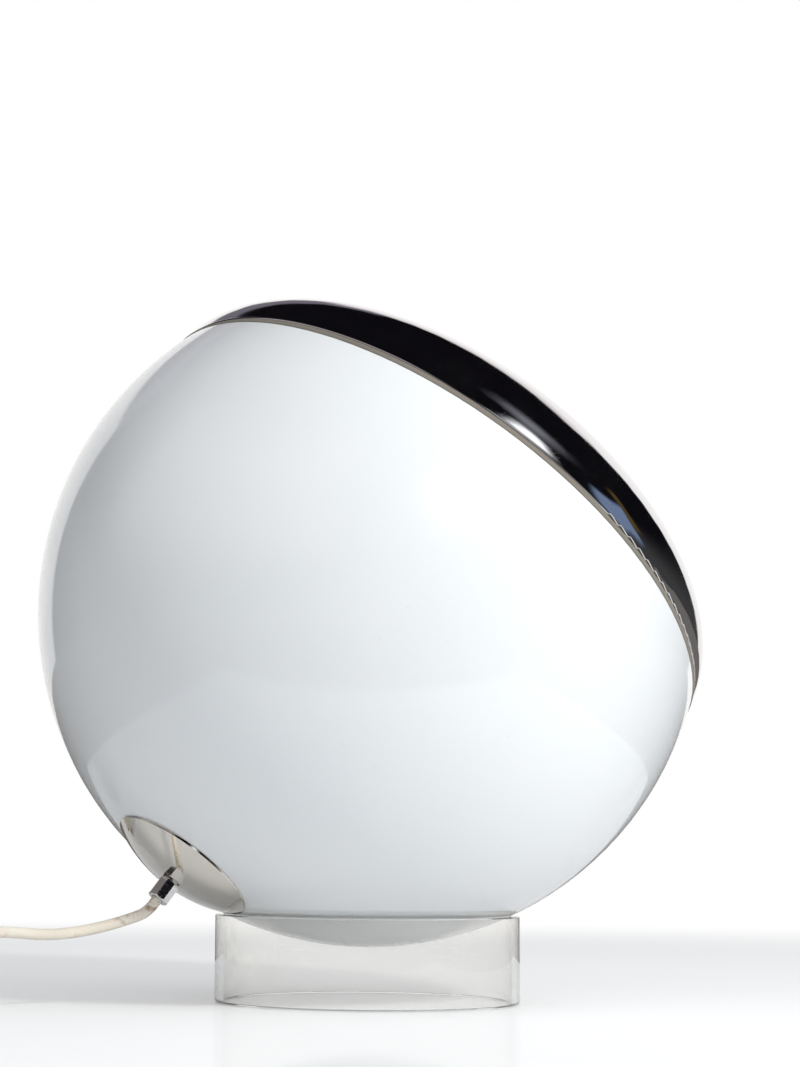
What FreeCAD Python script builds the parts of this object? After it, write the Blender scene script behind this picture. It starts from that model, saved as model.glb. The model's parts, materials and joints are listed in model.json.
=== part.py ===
import FreeCAD, Part
import math
import os
import Sketcher

# Globe table lamp: an opal glass ball with a chromed cap, resting loose on a clear ring.
# Millimetres, +Z up, origin on the table under the middle of the lamp.
# The lamp's own axis leans toward +X, its cap up and its cord end down.

Vector = FreeCAD.Vector
Placement = FreeCAD.Placement
Rotation = FreeCAD.Rotation

doc = FreeCAD.newDocument("GlobeLamp")
sheet = doc.addObject("Spreadsheet::Sheet", "Dims")

SIZES = [
    ("globe_radius", 190.0, "outer radius of the opal glass ball"),
    ("glass_wall", 4.0, "thickness of the glass"),
    ("mouth_offset", 50.8, "height of the mouth's plane above the ball's centre"),
    ("hole_radius", 26.0, "hole in the glass opposite the mouth"),
    ("foot_gap", 3.1806, "clearance along the glass from the ring's seat to the end disc"),
    ("rest_gap", 0.3, "clearance between glass and what it rests on"),
    ("ring_radius", 86.2, "outer radius of the clear ring"),
    ("ring_wall", 5.0, "thickness of the ring"),
    ("ring_height", 48.3, "height of the ring"),
    ("ring_bevel", 0.5, "polished bevel on the ring's edges"),
    ("gasket_width", 3.8, "width of the gasket under the cap"),
    ("gasket_wall", 2.9, "thickness of the gasket under the cap"),
    ("gasket_round", 0.8, "rounding of the gasket's outer corners"),
    ("bead_radius", 1.1, "radius of the cap's rolled bead"),
    ("bead_inset", 1.7, "bead's centre line inside the mouth's outer edge"),
    ("cap_rise", 79.5, "height of the cap above its bead"),
    ("cap_wall", 1.2, "thickness of the cap"),
    ("crown_spot", 0.5, "radius of the flat spot at the cap's very top"),
    ("guide_gap", 0.6, "clearance of the cap's guide ring in the mouth"),
    ("guide_wall", 0.8, "thickness of the guide ring"),
    ("guide_depth", 12.8, "reach of the guide ring into the mouth"),
    ("guide_top", 11.2, "height of the guide ring above the mouth"),
    ("disc_radius", 41.5, "radius of the end disc"),
    ("disc_wall", 1.0, "thickness of the end disc"),
    ("disc_gap", 0.3, "clearance of the disc's edge over the glass"),
    ("disc_lift", 6.1, "how much more the end disc bulges than the glass under it"),
    ("seal_inner", 28.0, "inner radius of the disc's gasket"),
    ("seal_outer", 34.0, "outer radius of the disc's gasket"),
    ("stem_radius", 4.0, "radius of the threaded stem"),
    ("stem_bore", 2.6, "bore radius of the threaded stem"),
    ("neck_radius", 5.2, "radius of the washer under the gland"),
    ("neck_length", 0.6, "thickness of the washer under the gland"),
    ("gland_corner", 6.2, "corner radius of the eight sided gland nut"),
    ("gland_length", 11.5, "length of the gland nut"),
    ("gland_turn", 7.0, "turn of the gland nut about the lamp's axis, degrees"),
    ("gland_lip", 0.8, "thickness of the gland nut's end lip"),
    ("gland_chamfer", 0.7, "chamfer of the gland nut's ends"),
    ("cord_radius", 3.0, "radius of the mains lead"),
    ("cord_nub", 2.0, "sheath showing past the gland before the free lead"),
    ("lead_gap", 0.1, "clearance between that sheath and the free lead"),
    ("wire_radius", 1.0, "radius of an inner wire"),
    ("plate_radius", 36.0, "radius of the clamp plate inside the glass"),
    ("plate_wall", 2.0, "thickness of the clamp plate"),
    ("plate_lift", 0.9, "clamp plate's height over the glass at its edge"),
    ("washer_radius", 8.0, "radius of the spring washer"),
    ("washer_wall", 1.0, "thickness of the spring washer"),
    ("nut_corner", 7.5, "corner radius of the lock nut"),
    ("nut_height", 5.0, "height of the lock nut"),
    ("holder_radius", 20.8, "outer radius of the lampholder"),
    ("holder_wall", 1.8, "wall of the lampholder"),
    ("cup_height", 22.5, "height of the lampholder's cup"),
    ("cup_floor", 6.0, "floor thickness of the lampholder's cup"),
    ("sleeve_height", 38.0, "height of the lampholder's sleeve"),
    ("insert_height", 6.0, "thickness of the ceramic insert"),
    ("shell_radius", 13.4, "inner radius of the screw shell"),
    ("shell_wall", 0.6, "thickness of the screw shell"),
    ("shell_height", 25.0, "height of the screw shell"),
    ("bulb_cap_radius", 13.0, "radius of the bulb's screw cap"),
    ("bulb_cap_height", 23.0, "height of the bulb's screw cap"),
    ("bulb_radius", 30.0, "radius of the bulb"),
    ("bulb_reach", 54.0, "bulb's centre above its screw cap"),
    ("bulb_neck", 12.6, "neck radius of the bulb"),
    ("bulb_wall", 0.8, "thickness of the bulb's glass"),
    ("switch_length", 64.0, "length of the cord switch"),
    ("switch_width", 25.0, "width of the cord switch"),
    ("switch_height", 17.0, "height of the cord switch"),
    ("switch_wall", 2.0, "wall of the cord switch"),
    ("switch_corner", 10.0, "corner radius of the cord switch"),
    ("rocker_length", 22.0, "length of the rocker"),
    ("rocker_width", 11.0, "width of the rocker"),
    ("rocker_gap", 0.8, "clearance round the rocker"),
    ("rocker_tilt", 7.0, "rocker's tilt each way, degrees"),
    ("coil_radius", 34.0, "middle radius of the coiled lead"),
    ("coil_width", 24.3, "width of the coiled lead"),
    ("coil_height", 12.3, "height of the coiled lead"),
    ("plug_radius", 17.5, "radius of the plug's face"),
    ("plug_length", 38.0, "length of the plug's body"),
    ("plug_waist", 13.0, "radius of the plug's grip"),
    ("relief_length", 24.0, "length of the plug's bend relief"),
    ("relief_radius", 5.4, "radius of the bend relief at the plug"),
    ("pin_radius", 2.4, "radius of a plug pin"),
    ("pin_length", 19.0, "length of a plug pin"),
    ("pin_spacing", 19.0, "distance between the pins' centres"),
]


class Size:
    """A number together with the sheet formula that gives it."""

    def __init__(self, number, formula):
        self.number = float(number)
        self.formula = formula

    def __add__(self, other):
        other = size(other)
        return Size(self.number + other.number, "(%s + %s)" % (self.formula, other.formula))

    def __radd__(self, other):
        return size(other) + self

    def __sub__(self, other):
        other = size(other)
        return Size(self.number - other.number, "(%s - %s)" % (self.formula, other.formula))

    def __rsub__(self, other):
        return size(other) - self

    def __mul__(self, other):
        other = size(other)
        return Size(self.number * other.number, "(%s * %s)" % (self.formula, other.formula))

    def __rmul__(self, other):
        return size(other) * self

    def __truediv__(self, other):
        other = size(other)
        return Size(self.number / other.number, "(%s / %s)" % (self.formula, other.formula))

    def __neg__(self):
        return size(0) - self


def size(value):
    if isinstance(value, Size):
        return value
    return Size(value, "%.6f" % value)


def root(value):
    value = size(value)
    return Size(math.sqrt(value.number), "sqrt(%s)" % value.formula)


def arcsine(value):
    """The angle in degrees."""
    value = size(value)
    return Size(math.degrees(math.asin(value.number)), "(asin(%s) / 1deg)" % value.formula)


def leg(long_side, other_side):
    """The other leg of a right triangle."""
    return root(long_side * long_side - other_side * other_side)


for row, (alias, number, note) in enumerate(SIZES, 1):
    sheet.set("A%d" % row, alias)
    sheet.set("B%d" % row, "%g" % number)
    sheet.setAlias("B%d" % row, alias)
    sheet.set("C%d" % row, note)
doc.recompute()
dim = {alias: Size(sheet.get(alias), "Dims.%s" % alias) for alias, number, note in SIZES}

# Steps between pieces along the lamp's axis
GLAND_GRIP = 5.2
CUP_CLEARANCE = 1.0
STEM_IN_CUP = 3.0
SLEEVE_LAP = 2.0
CONTACT_RISE = 2.8
CAP_TIP_DEPTH = 4.2

# Levels along the lamp's axis, from the ball's centre
ball = dim["globe_radius"]
inside = ball - dim["glass_wall"]
mouth = dim["mouth_offset"]
mouth_outer = leg(ball, mouth)
mouth_inner = leg(inside, mouth)
gasket_low = mouth + dim["rest_gap"]
gasket_high = gasket_low + dim["gasket_wall"]
bead_level = gasket_high + dim["bead_radius"]
bead_circle = mouth_outer - dim["bead_inset"]
disc_rim = -(leg(ball, dim["disc_radius"]) + dim["disc_gap"] + dim["disc_wall"])
disc_crown = ball - leg(ball, dim["disc_radius"]) + dim["disc_lift"]
disc_pole = disc_rim - disc_crown
disc_sphere = (dim["disc_radius"] * dim["disc_radius"] + disc_crown * disc_crown) / (2 * disc_crown)
disc_centre = disc_pole + disc_sphere
disc_inside = disc_sphere - dim["disc_wall"]
neck_end = disc_pole - dim["neck_length"]
gland_end = neck_end - dim["gland_length"]
stem_low = neck_end - GLAND_GRIP
sheath_end = gland_end - dim["cord_nub"]
plate_low = dim["plate_lift"] - leg(inside, dim["plate_radius"])
plate_high = plate_low + dim["plate_wall"]
washer_high = plate_high + dim["washer_wall"]
nut_high = washer_high + dim["nut_height"]
cup_low = nut_high + CUP_CLEARANCE
cup_high = cup_low + dim["cup_height"]
stem_high = cup_low + dim["cup_floor"] + STEM_IN_CUP
insert_high = cup_high + dim["insert_height"]
shell_high = insert_high + dim["shell_height"]
sleeve_low = cup_high - SLEEVE_LAP
sleeve_high = sleeve_low + dim["sleeve_height"]
bulb_tip = insert_high + CONTACT_RISE
bulb_cap_low = bulb_tip + CAP_TIP_DEPTH
bulb_cap_high = bulb_cap_low + dim["bulb_cap_height"]
bulb_centre = bulb_cap_high + dim["bulb_reach"]

# Height of the ball's centre over the table, its glass just clear of the ring's inner bevel
seat_radius = dim["ring_radius"] - dim["ring_wall"] + dim["ring_bevel"]
ball_height = dim["ring_height"] + leg(ball + dim["rest_gap"], seat_radius)

# The lamp's axis leans 39 degrees: far enough for the end disc to clear the ring
seat_angle = arcsine(seat_radius / (ball + dim["rest_gap"]))
disc_angle = arcsine(dim["disc_radius"] / ball)
lean_angle = seat_angle + disc_angle + dim["foot_gap"] / ball * math.degrees(1)
lean_row = len(SIZES) + 1
sheet.set("A%d" % lean_row, "lean_angle")
sheet.set("B%d" % lean_row, "=" + lean_angle.formula.replace("Dims.", ""))
sheet.setAlias("B%d" % lean_row, "lean_angle")
sheet.set("C%d" % lean_row, "lean of the lamp's axis from upright, degrees")
doc.recompute()
LAMP = "placement(vector(0; 0; %s); rotation(vector(0; 1; 0); Dims.lean_angle))" % ball_height.formula
lean = math.radians(sheet.get("lean_angle"))
lamp_axis = Vector(math.sin(lean), 0, math.cos(lean))
ball_centre = Vector(0, 0, ball_height.number)

pieces = []


def keep(piece, place=None):
    """Lists a sub-part for export and sets where it sits."""
    if isinstance(place, str):
        piece.setExpression("Placement", place)
    elif place is not None:
        piece.Placement = place
    pieces.append(piece)
    return piece


def origin_plane(body, role):
    for feature in body.Origin.OriginFeatures:
        if feature.Role == role:
            return feature
    raise ValueError(role)


def new_sketch(body, name, role, offset=None):
    sketch = body.newObject("Sketcher::SketchObject", name)
    sketch.AttachmentSupport = [(origin_plane(body, role), "")]
    sketch.MapMode = "FlatFace"
    if offset is not None:
        sketch.AttachmentOffset = Placement(Vector(0, 0, offset.number), Rotation())
        sketch.setExpression("AttachmentOffset.Base.z", offset.formula)
    return sketch


def pin_point(sketch, geometry, corner, x, y):
    """Holds one sketch point at two sheet sizes."""
    for kind, value, axis in (("DistanceX", size(x), -2), ("DistanceY", size(y), -1)):
        if value.formula == "0.000000":
            sketch.addConstraint(Sketcher.Constraint("PointOnObject", geometry, corner, axis))
            continue
        index = sketch.addConstraint(Sketcher.Constraint(kind, -1, 1, geometry, corner, value.number))
        sketch.setExpression("Constraints[%d]" % index, value.formula)


def draw_outline(sketch, points, bends):
    """A closed outline through the points; bends maps an edge to (radius, side)."""
    flat = [Vector(size(x).number, size(y).number, 0) for x, y in points]
    count = len(points)
    edges = []
    for i in range(count):
        start = flat[i]
        end = flat[(i + 1) % count]
        if i in bends:
            radius, side = bends[i]
            index = sketch.addGeometry(circle_arc(start, end, size(radius).number, side), False)
        else:
            index = sketch.addGeometry(Part.LineSegment(start, end), False)
        edges.append(index)
    for i in range(count):
        first = edges[i]
        after = edges[(i + 1) % count]
        shared = flat[(i + 1) % count]
        sketch.addConstraint(Sketcher.Constraint(
            "Coincident", first, end_corner(sketch, first, shared), after, end_corner(sketch, after, shared)))
        pin_point(sketch, first, end_corner(sketch, first, flat[i]), *points[i])
    for i, (radius, side) in bends.items():
        radius = size(radius)
        index = sketch.addConstraint(Sketcher.Constraint("Radius", edges[i], radius.number))
        sketch.setExpression("Constraints[%d]" % index, radius.formula)


def circle_arc(start, end, radius, side):
    """A sketch arc of a known radius between two points; side +1 bulges left of the way travelled."""
    chord = end - start
    half = chord.Length / 2
    across = Vector(-chord.y, chord.x, 0).normalize()
    depth = math.sqrt(max(radius * radius - half * half, 0))
    centre = (start + end) / 2 - across * depth * side
    first = math.atan2(start.y - centre.y, start.x - centre.x)
    last = math.atan2(end.y - centre.y, end.x - centre.x)
    if side > 0:
        first, last = last, first
    while last < first:
        last += 2 * math.pi
    return Part.ArcOfCircle(Part.Circle(centre, Vector(0, 0, 1), radius), first, last)


def end_corner(sketch, geometry, where):
    """Which end of a sketch edge lies at a point: 1 its start, 2 its end."""
    start = sketch.getPoint(geometry, 1)
    end = sketch.getPoint(geometry, 2)
    return 1 if (start - where).Length < (end - where).Length else 2


def refresh(*features):
    """Recomputes just these features, in order."""
    for feature in features:
        feature.recompute()


def check_sketch(sketch):
    refresh(sketch)
    if sketch.solve() != 0:
        raise RuntimeError("sketch %s does not solve" % sketch.Name)


def turned(label, points, bends=None, place=LAMP, listed=True):
    """A piece turned about its own Z axis from an outline in X and Z."""
    body = doc.addObject("PartDesign::Body", label)
    sketch = new_sketch(body, label + "_outline", "XZ_Plane")
    draw_outline(sketch, points, bends or {})
    check_sketch(sketch)
    turn = body.newObject("PartDesign::Revolution", label + "_turn")
    turn.Profile = sketch
    turn.ReferenceAxis = (sketch, ["V_Axis"])
    turn.Angle = 360
    refresh(turn, body)
    return keep(body, place) if listed else body


def padded(label, points, bends, plane, offset, length, place=None, both=False, listed=True):
    """A piece padded from an outline."""
    body = doc.addObject("PartDesign::Body", label)
    sketch = new_sketch(body, label + "_outline", plane, offset)
    draw_outline(sketch, points, bends or {})
    check_sketch(sketch)
    pad = body.newObject("PartDesign::Pad", label + "_pad")
    pad.Profile = sketch
    pad.setExpression("Length", size(length).formula)
    pad.Midplane = both
    refresh(pad, body)
    return keep(body, place) if listed else body


def rounded_rectangle(length, width, corner):
    """Outline and bends of a rectangle with round corners, about the origin."""
    a = length / 2
    b = width / 2
    points = [(corner - a, -b), (a - corner, -b), (a, corner - b), (a, b - corner),
              (a - corner, b), (corner - a, b), (-a, b - corner), (-a, corner - b)]
    return points, {1: (corner, -1), 3: (corner, -1), 5: (corner, -1), 7: (corner, -1)}


def edges_of(shape, wanted):
    """Names of the edges whose middle point passes a test."""
    names = []
    for number, edge in enumerate(shape.Edges, 1):
        middle = edge.valueAt((edge.FirstParameter + edge.LastParameter) / 2)
        if wanted(middle, edge):
            names.append("Edge%d" % number)
    return names


# The clear ring on the table
ring_inner = dim["ring_radius"] - dim["ring_wall"]
bevel = dim["ring_bevel"]
turned("base_ring", [
    (ring_inner + bevel, 0), (dim["ring_radius"] - bevel, 0), (dim["ring_radius"], bevel),
    (dim["ring_radius"], dim["ring_height"] - bevel), (dim["ring_radius"] - bevel, dim["ring_height"]),
    (ring_inner + bevel, dim["ring_height"]), (ring_inner, dim["ring_height"] - bevel), (ring_inner, bevel),
], place="placement(vector(0; 0; 0); rotation(vector(0; 0; 1); 0))")

# The opal glass ball, open at the mouth and at the small hole
turned("glass_globe", [
    (dim["hole_radius"], -leg(ball, dim["hole_radius"])), (mouth_outer, mouth), (mouth_inner, mouth),
    (dim["hole_radius"], -leg(inside, dim["hole_radius"])),
], {0: (ball, -1), 2: (inside, 1)})


def bowl_level(radius, sphere, centre=0):
    """Level on the underside of a sphere at a radius from the axis."""
    return size(centre) - leg(sphere, radius)


# The end disc over the small hole, its gasket, the washer and the gland
seal_back = disc_inside - dim["rest_gap"]
turned("disc_gasket", [
    (dim["seal_inner"], bowl_level(dim["seal_inner"], seal_back, disc_centre)),
    (dim["seal_outer"], bowl_level(dim["seal_outer"], seal_back, disc_centre)),
    (dim["seal_outer"], bowl_level(dim["seal_outer"], ball)),
    (dim["seal_inner"], bowl_level(dim["seal_inner"], ball)),
], {0: (seal_back, -1), 2: (ball, 1)})

turned("bottom_disc", [
    (dim["stem_radius"], bowl_level(dim["stem_radius"], disc_sphere, disc_centre)),
    (dim["disc_radius"], bowl_level(dim["disc_radius"], disc_sphere, disc_centre)),
    (dim["disc_radius"], bowl_level(dim["disc_radius"], disc_inside, disc_centre)),
    (dim["stem_radius"], bowl_level(dim["stem_radius"], disc_inside, disc_centre)),
], {0: (disc_sphere, -1), 2: (disc_inside, 1)})

turned("neck_collar", [
    (dim["stem_radius"], disc_pole), (dim["stem_radius"], neck_end), (dim["neck_radius"] - 0.2, neck_end),
    (dim["neck_radius"], neck_end + 0.2), (dim["neck_radius"], disc_pole),
])

turned("threaded_stem", [
    (dim["stem_bore"], stem_low), (dim["stem_radius"] - 0.4, stem_low), (dim["stem_radius"], stem_low + 0.4),
    (dim["stem_radius"], stem_high - 0.4), (dim["stem_radius"] - 0.4, stem_high),
    (dim["stem_bore"], stem_high),
])


def many_sided(label, sides, corner, low, high, bore_steps, chamfer, turn):
    """A nut: a many sided bar cut by a turned blank with chamfered ends and its bore."""
    bar = doc.addObject("Part::Prism", label + "_bar")
    bar.Polygon = sides
    bar.setExpression("Circumradius", corner.formula)
    bar.setExpression("Height", (high - low).formula)
    bar.setExpression("Placement", "placement(vector(0; 0; %s); rotation(vector(0; 0; 1); %s))"
                      % (low.formula, turn.formula))
    outline = list(bore_steps)
    outline += [(corner - chamfer, high), (corner + 0.01, high - chamfer), (corner + 0.01, low + chamfer),
                (corner - chamfer, low)]
    blank = turned(label + "_blank", outline, place=None, listed=False)
    nut = doc.addObject("Part::Common", label)
    nut.Base = bar
    nut.Tool = blank
    refresh(bar, nut)
    return keep(nut, LAMP)


mouth_bore = dim["cord_radius"] + 0.4
many_sided("gland_nut", 8, dim["gland_corner"], gland_end, neck_end, [
    (mouth_bore, gland_end), (mouth_bore, gland_end + dim["gland_lip"]),
    (dim["stem_radius"], gland_end + dim["gland_lip"]), (dim["stem_radius"], neck_end),
], dim["gland_chamfer"], dim["gland_turn"])

turned("gland_seal", [
    (dim["cord_radius"], gland_end + dim["gland_lip"]), (dim["stem_radius"], gland_end + dim["gland_lip"]),
    (dim["stem_radius"], stem_low - 0.8), (dim["cord_radius"], stem_low - 0.8),
])

turned("cord_entry", [
    (0, sheath_end), (dim["cord_radius"], sheath_end), (dim["cord_radius"], stem_low), (0, stem_low),
])

# Clamping parts inside the glass
inner_seal_back = inside - dim["rest_gap"]
turned("inner_gasket", [
    (dim["seal_inner"], bowl_level(dim["seal_inner"], inner_seal_back)),
    (dim["seal_outer"], bowl_level(dim["seal_outer"], inner_seal_back)),
    (dim["seal_outer"], plate_low), (dim["seal_inner"], plate_low),
], {0: (inner_seal_back, -1)})
turned("clamp_plate", [
    (dim["stem_radius"], plate_low), (dim["plate_radius"] - 0.5, plate_low),
    (dim["plate_radius"], plate_low + 0.5),
    (dim["plate_radius"], plate_high), (dim["stem_radius"], plate_high),
])
turned("spring_washer", [
    (dim["stem_radius"], plate_high), (dim["washer_radius"], plate_high), (dim["washer_radius"], washer_high),
    (dim["stem_radius"], washer_high),
])
many_sided("lock_nut", 6, dim["nut_corner"], washer_high, nut_high, [
    (dim["stem_radius"], washer_high), (dim["stem_radius"], nut_high),
], size(0.6), size(30))

# The lampholder
cup_outer = dim["holder_radius"] - dim["holder_wall"]
turned("holder_cup", [
    (dim["stem_radius"], cup_low), (cup_outer - 9, cup_low), (cup_outer, cup_low + 9), (cup_outer, cup_high),
    (cup_outer - dim["holder_wall"], cup_high), (cup_outer - dim["holder_wall"], cup_low + 10.5),
    (cup_outer - 10, cup_low + dim["cup_floor"]), (dim["stem_radius"], cup_low + dim["cup_floor"]),
])
sleeve_inner = dim["holder_radius"] - dim["holder_wall"] - 1.4
turned("holder_sleeve", [
    (cup_outer, sleeve_low), (dim["holder_radius"], sleeve_low), (dim["holder_radius"], sleeve_high - 1.5),
    (dim["holder_radius"] - 1.5, sleeve_high), (dim["shell_radius"] + 1.2, sleeve_high),
    (dim["shell_radius"] + 1.2, sleeve_high - 1.6), (sleeve_inner, sleeve_high - 1.6),
    (sleeve_inner, sleeve_low + 5), (cup_outer, sleeve_low + 3.5),
])


# The ceramic insert has a blind hole for each terminal screw on its underside
SCREW_SPREAD = 9.0
insert = doc.addObject("PartDesign::Body", "holder_insert")
insert_sketch = new_sketch(insert, "insert_disc", "XY_Plane", cup_high)
insert_radius = sleeve_inner - 0.1
insert_circle = insert_sketch.addGeometry(
    Part.Circle(Vector(0, 0, 0), Vector(0, 0, 1), insert_radius.number))
insert_sketch.addConstraint(Sketcher.Constraint("Coincident", insert_circle, 3, -1, 1))
insert_bound = insert_sketch.addConstraint(
    Sketcher.Constraint("Radius", insert_circle, insert_radius.number))
insert_sketch.setExpression("Constraints[%d]" % insert_bound, insert_radius.formula)
check_sketch(insert_sketch)
insert_pad = insert.newObject("PartDesign::Pad", "insert_pad")
insert_pad.Profile = insert_sketch
insert_pad.setExpression("Length", "Dims.insert_height")
refresh(insert_pad)
holes = new_sketch(insert, "insert_holes", "XY_Plane", cup_high)
for side in (-1, 1):
    hole = holes.addGeometry(Part.Circle(Vector(side * SCREW_SPREAD, 0, 0), Vector(0, 0, 1), 1.5))
    holes.addConstraint(Sketcher.Constraint("Radius", hole, 1.5))
    holes.addConstraint(Sketcher.Constraint("DistanceX", -1, 1, hole, 3, side * SCREW_SPREAD))
    holes.addConstraint(Sketcher.Constraint("PointOnObject", hole, 3, -1))
check_sketch(holes)
before = insert_pad.Shape.Volume
insert_pocket = insert.newObject("PartDesign::Pocket", "insert_pocket")
insert_pocket.Profile = holes
insert_pocket.Length = 4.0
insert_pocket.Reversed = True
refresh(insert_pocket, insert)
if insert_pocket.Shape.Volume > before - 1:
    insert_pocket.Reversed = False
    refresh(insert_pocket, insert)
if insert_pocket.Shape.Volume > before - 1:
    raise RuntimeError("the insert's holes cut nothing")
keep(insert, LAMP)

turned("screw_shell", [
    (dim["shell_radius"] - 4, insert_high), (dim["shell_radius"] + dim["shell_wall"], insert_high),
    (dim["shell_radius"] + dim["shell_wall"], shell_high), (dim["shell_radius"], shell_high),
    (dim["shell_radius"], insert_high + dim["shell_wall"]),
    (dim["shell_radius"] - 4, insert_high + dim["shell_wall"]),
])
padded("centre_contact", [
    (-7, insert_high), (-3, insert_high), (0, insert_high + 1.9), (5, insert_high + 1.9),
    (5, insert_high + 2.4),
    (-0.2, insert_high + 2.4), (-3.4, insert_high + 0.5), (-7, insert_high + 0.5),
], {}, "XZ_Plane", size(0), size(5), LAMP, both=True)

# Two terminal screws of one kind under the insert
screw_body = turned("screw_pattern", [
    (0, -1.6), (1.9, -1.6), (2.2, -1.3), (2.2, 0), (1.5, 0), (1.5, 3.8), (0, 3.8),
], place=None, listed=False)
screws = []
for side in (-1, 1):
    copy = screw_body.Shape.copy()
    copy.translate(Vector(side * SCREW_SPREAD, 0, cup_high.number))
    slot = Part.makeBox(5, 0.8, 0.7, Vector(side * SCREW_SPREAD - 2.5, -0.4, cup_high.number - 1.61))
    screws.append(copy.cut(slot))
terminal_screws = doc.addObject("Part::Feature", "terminal_screws")
terminal_screws.Shape = Part.makeCompound(screws)
keep(terminal_screws, LAMP)


def path_wire(points, bend_share=0.45):
    """Straight runs joined by tangent arcs through the points; also gives the arcs' radii."""
    edges = []
    radii = []
    here = points[0]
    for i in range(1, len(points) - 1):
        before_run = points[i] - points[i - 1]
        after_run = points[i + 1] - points[i]
        turn = before_run.getAngle(after_run)
        cut = bend_share * min(before_run.Length, after_run.Length)
        start = points[i] - before_run.normalize() * cut
        end = points[i] + after_run.normalize() * cut
        radius = cut / math.tan(turn / 2)
        radii.append(radius)
        toward = (start + end) / 2 - points[i]
        reach = radius / math.cos(turn / 2) - radius
        middle = points[i] + toward.normalize() * reach
        edges.append(Part.LineSegment(here, start).toShape())
        edges.append(Part.Arc(start, middle, end).toShape())
        here = end
    edges.append(Part.LineSegment(here, points[-1]).toShape())
    return Part.Wire(edges), radii


def tube(label, points, radius, place=None, listed=True):
    """A round solid swept along a path of runs and arcs, its volume compared with its length."""
    wire, radii = path_wire([Vector(point) for point in points])
    way = (points[1] - points[0]).normalize()
    section = Part.Wire([Part.Circle(points[0], way, radius).toShape()])
    solid = wire.makePipeShell([section], True, True)
    expected = math.pi * radius * radius * wire.Length
    if abs(solid.Volume - expected) > 0.01 * expected:
        raise RuntimeError("%s: volume %.1f, expected %.1f" % (label, solid.Volume, expected))
    print("%s length %.1f least radius %.1f" % (label, wire.Length, min(radii) if radii else 0))
    feature = doc.addObject("Part::Feature", label)
    feature.Shape = solid
    if listed:
        keep(feature, place)
    return wire.Length


# Two inner wires from the sheath's end up to the terminal screws
wire_gap = 1.3
for name, side in (("wire_live", -1), ("wire_neutral", 1)):
    tube(name, [
        Vector(side * wire_gap, 0, stem_low.number), Vector(side * wire_gap, 0, stem_high.number + 2),
        Vector(side * (SCREW_SPREAD - 2.0), 0, cup_high.number - 2.8),
        Vector(side * SCREW_SPREAD, 0, cup_high.number - 2.65),
    ], dim["wire_radius"].number, LAMP)

# The bulb
turned("bulb_contact", [
    (0, bulb_tip), (3.6, bulb_tip), (4.6, bulb_tip + 1), (4.6, bulb_tip + 1.4), (0, bulb_tip + 1.4),
])
turned("bulb_insulator", [
    (0, bulb_tip + 1.4), (4.6, bulb_tip + 1.4), (dim["bulb_cap_radius"] - 3, bulb_cap_low),
    (0, bulb_cap_low),
])
THREADS = 5
thread_pitch = (dim["bulb_cap_height"] - 4) / THREADS
cap_points = [(dim["bulb_cap_radius"] - 3, bulb_cap_low)]
for turn_number in range(THREADS):
    low = bulb_cap_low + 1 + thread_pitch * turn_number
    cap_points.append((dim["bulb_cap_radius"] - 1, low))
    cap_points.append((dim["bulb_cap_radius"], low + thread_pitch * 0.5))
cap_points += [
    (dim["bulb_cap_radius"] - 1, bulb_cap_high - 3), (dim["bulb_cap_radius"] - 0.2, bulb_cap_high - 2),
    (dim["bulb_cap_radius"] - 0.2, bulb_cap_high), (dim["bulb_neck"] - 0.8, bulb_cap_high),
    (dim["bulb_neck"] - 0.8, bulb_cap_high - 3), (0, bulb_cap_high - 3), (0, bulb_cap_low),
]
turned("bulb_cap", cap_points)
shoulder = dim["bulb_radius"] * 0.82
shoulder_level = bulb_centre - leg(dim["bulb_radius"], shoulder)
bulb_inside = dim["bulb_radius"] - dim["bulb_wall"]
shoulder_inner = bulb_inside * 0.82
shoulder_inner_level = bulb_centre - leg(bulb_inside, shoulder_inner)
turned("bulb_glass", [
    (dim["bulb_neck"], bulb_cap_high), (dim["bulb_neck"] + 0.6, bulb_cap_high + 10),
    (shoulder, shoulder_level),
    (0, bulb_centre + dim["bulb_radius"]), (0, bulb_centre + bulb_inside),
    (shoulder_inner, shoulder_inner_level),
    (dim["bulb_neck"] + 0.6 - dim["bulb_wall"], bulb_cap_high + 10),
    (dim["bulb_neck"] - dim["bulb_wall"], bulb_cap_high),
], {2: (dim["bulb_radius"], -1), 4: (bulb_inside, 1)})
turned("bulb_stem", [
    (0, bulb_cap_high - 3), (dim["bulb_neck"] - 1, bulb_cap_high - 3),
    (dim["bulb_neck"] - 1, bulb_cap_high - 1),
    (4, bulb_cap_high + 6), (3, bulb_cap_high + 24), (0, bulb_cap_high + 25),
])
filament_low = bulb_cap_high.number + 20
filament_top = filament_low + 30
tube("bulb_filament", [
    Vector(-2, 0, filament_low), Vector(-7, 0, filament_top - 9), Vector(-8.5, 0, filament_top),
    Vector(0, 4, filament_top + 2), Vector(8.5, 0, filament_top), Vector(7, 0, filament_top - 9),
    Vector(2, 0, filament_low),
], 0.35, LAMP)

# The chromed cap: an oval shell rolled outward into a bead, turned from one outline
dome_cap = doc.addObject("PartDesign::Body", "dome_cap")
cap_sketch = new_sketch(dome_cap, "dome_cap_outline", "XZ_Plane")


def meeting_angle(wide, rise):
    """Where an oval leaves the bead, as the oval's own angle."""
    low = 0.0
    high = math.pi / 2
    for halving in range(60):
        middle = (low + high) / 2
        away = math.hypot(wide * math.cos(middle) - bead_circle.number, rise * math.sin(middle))
        if away < dim["bead_radius"].number:
            low = middle
        else:
            high = middle
    return low


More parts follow.
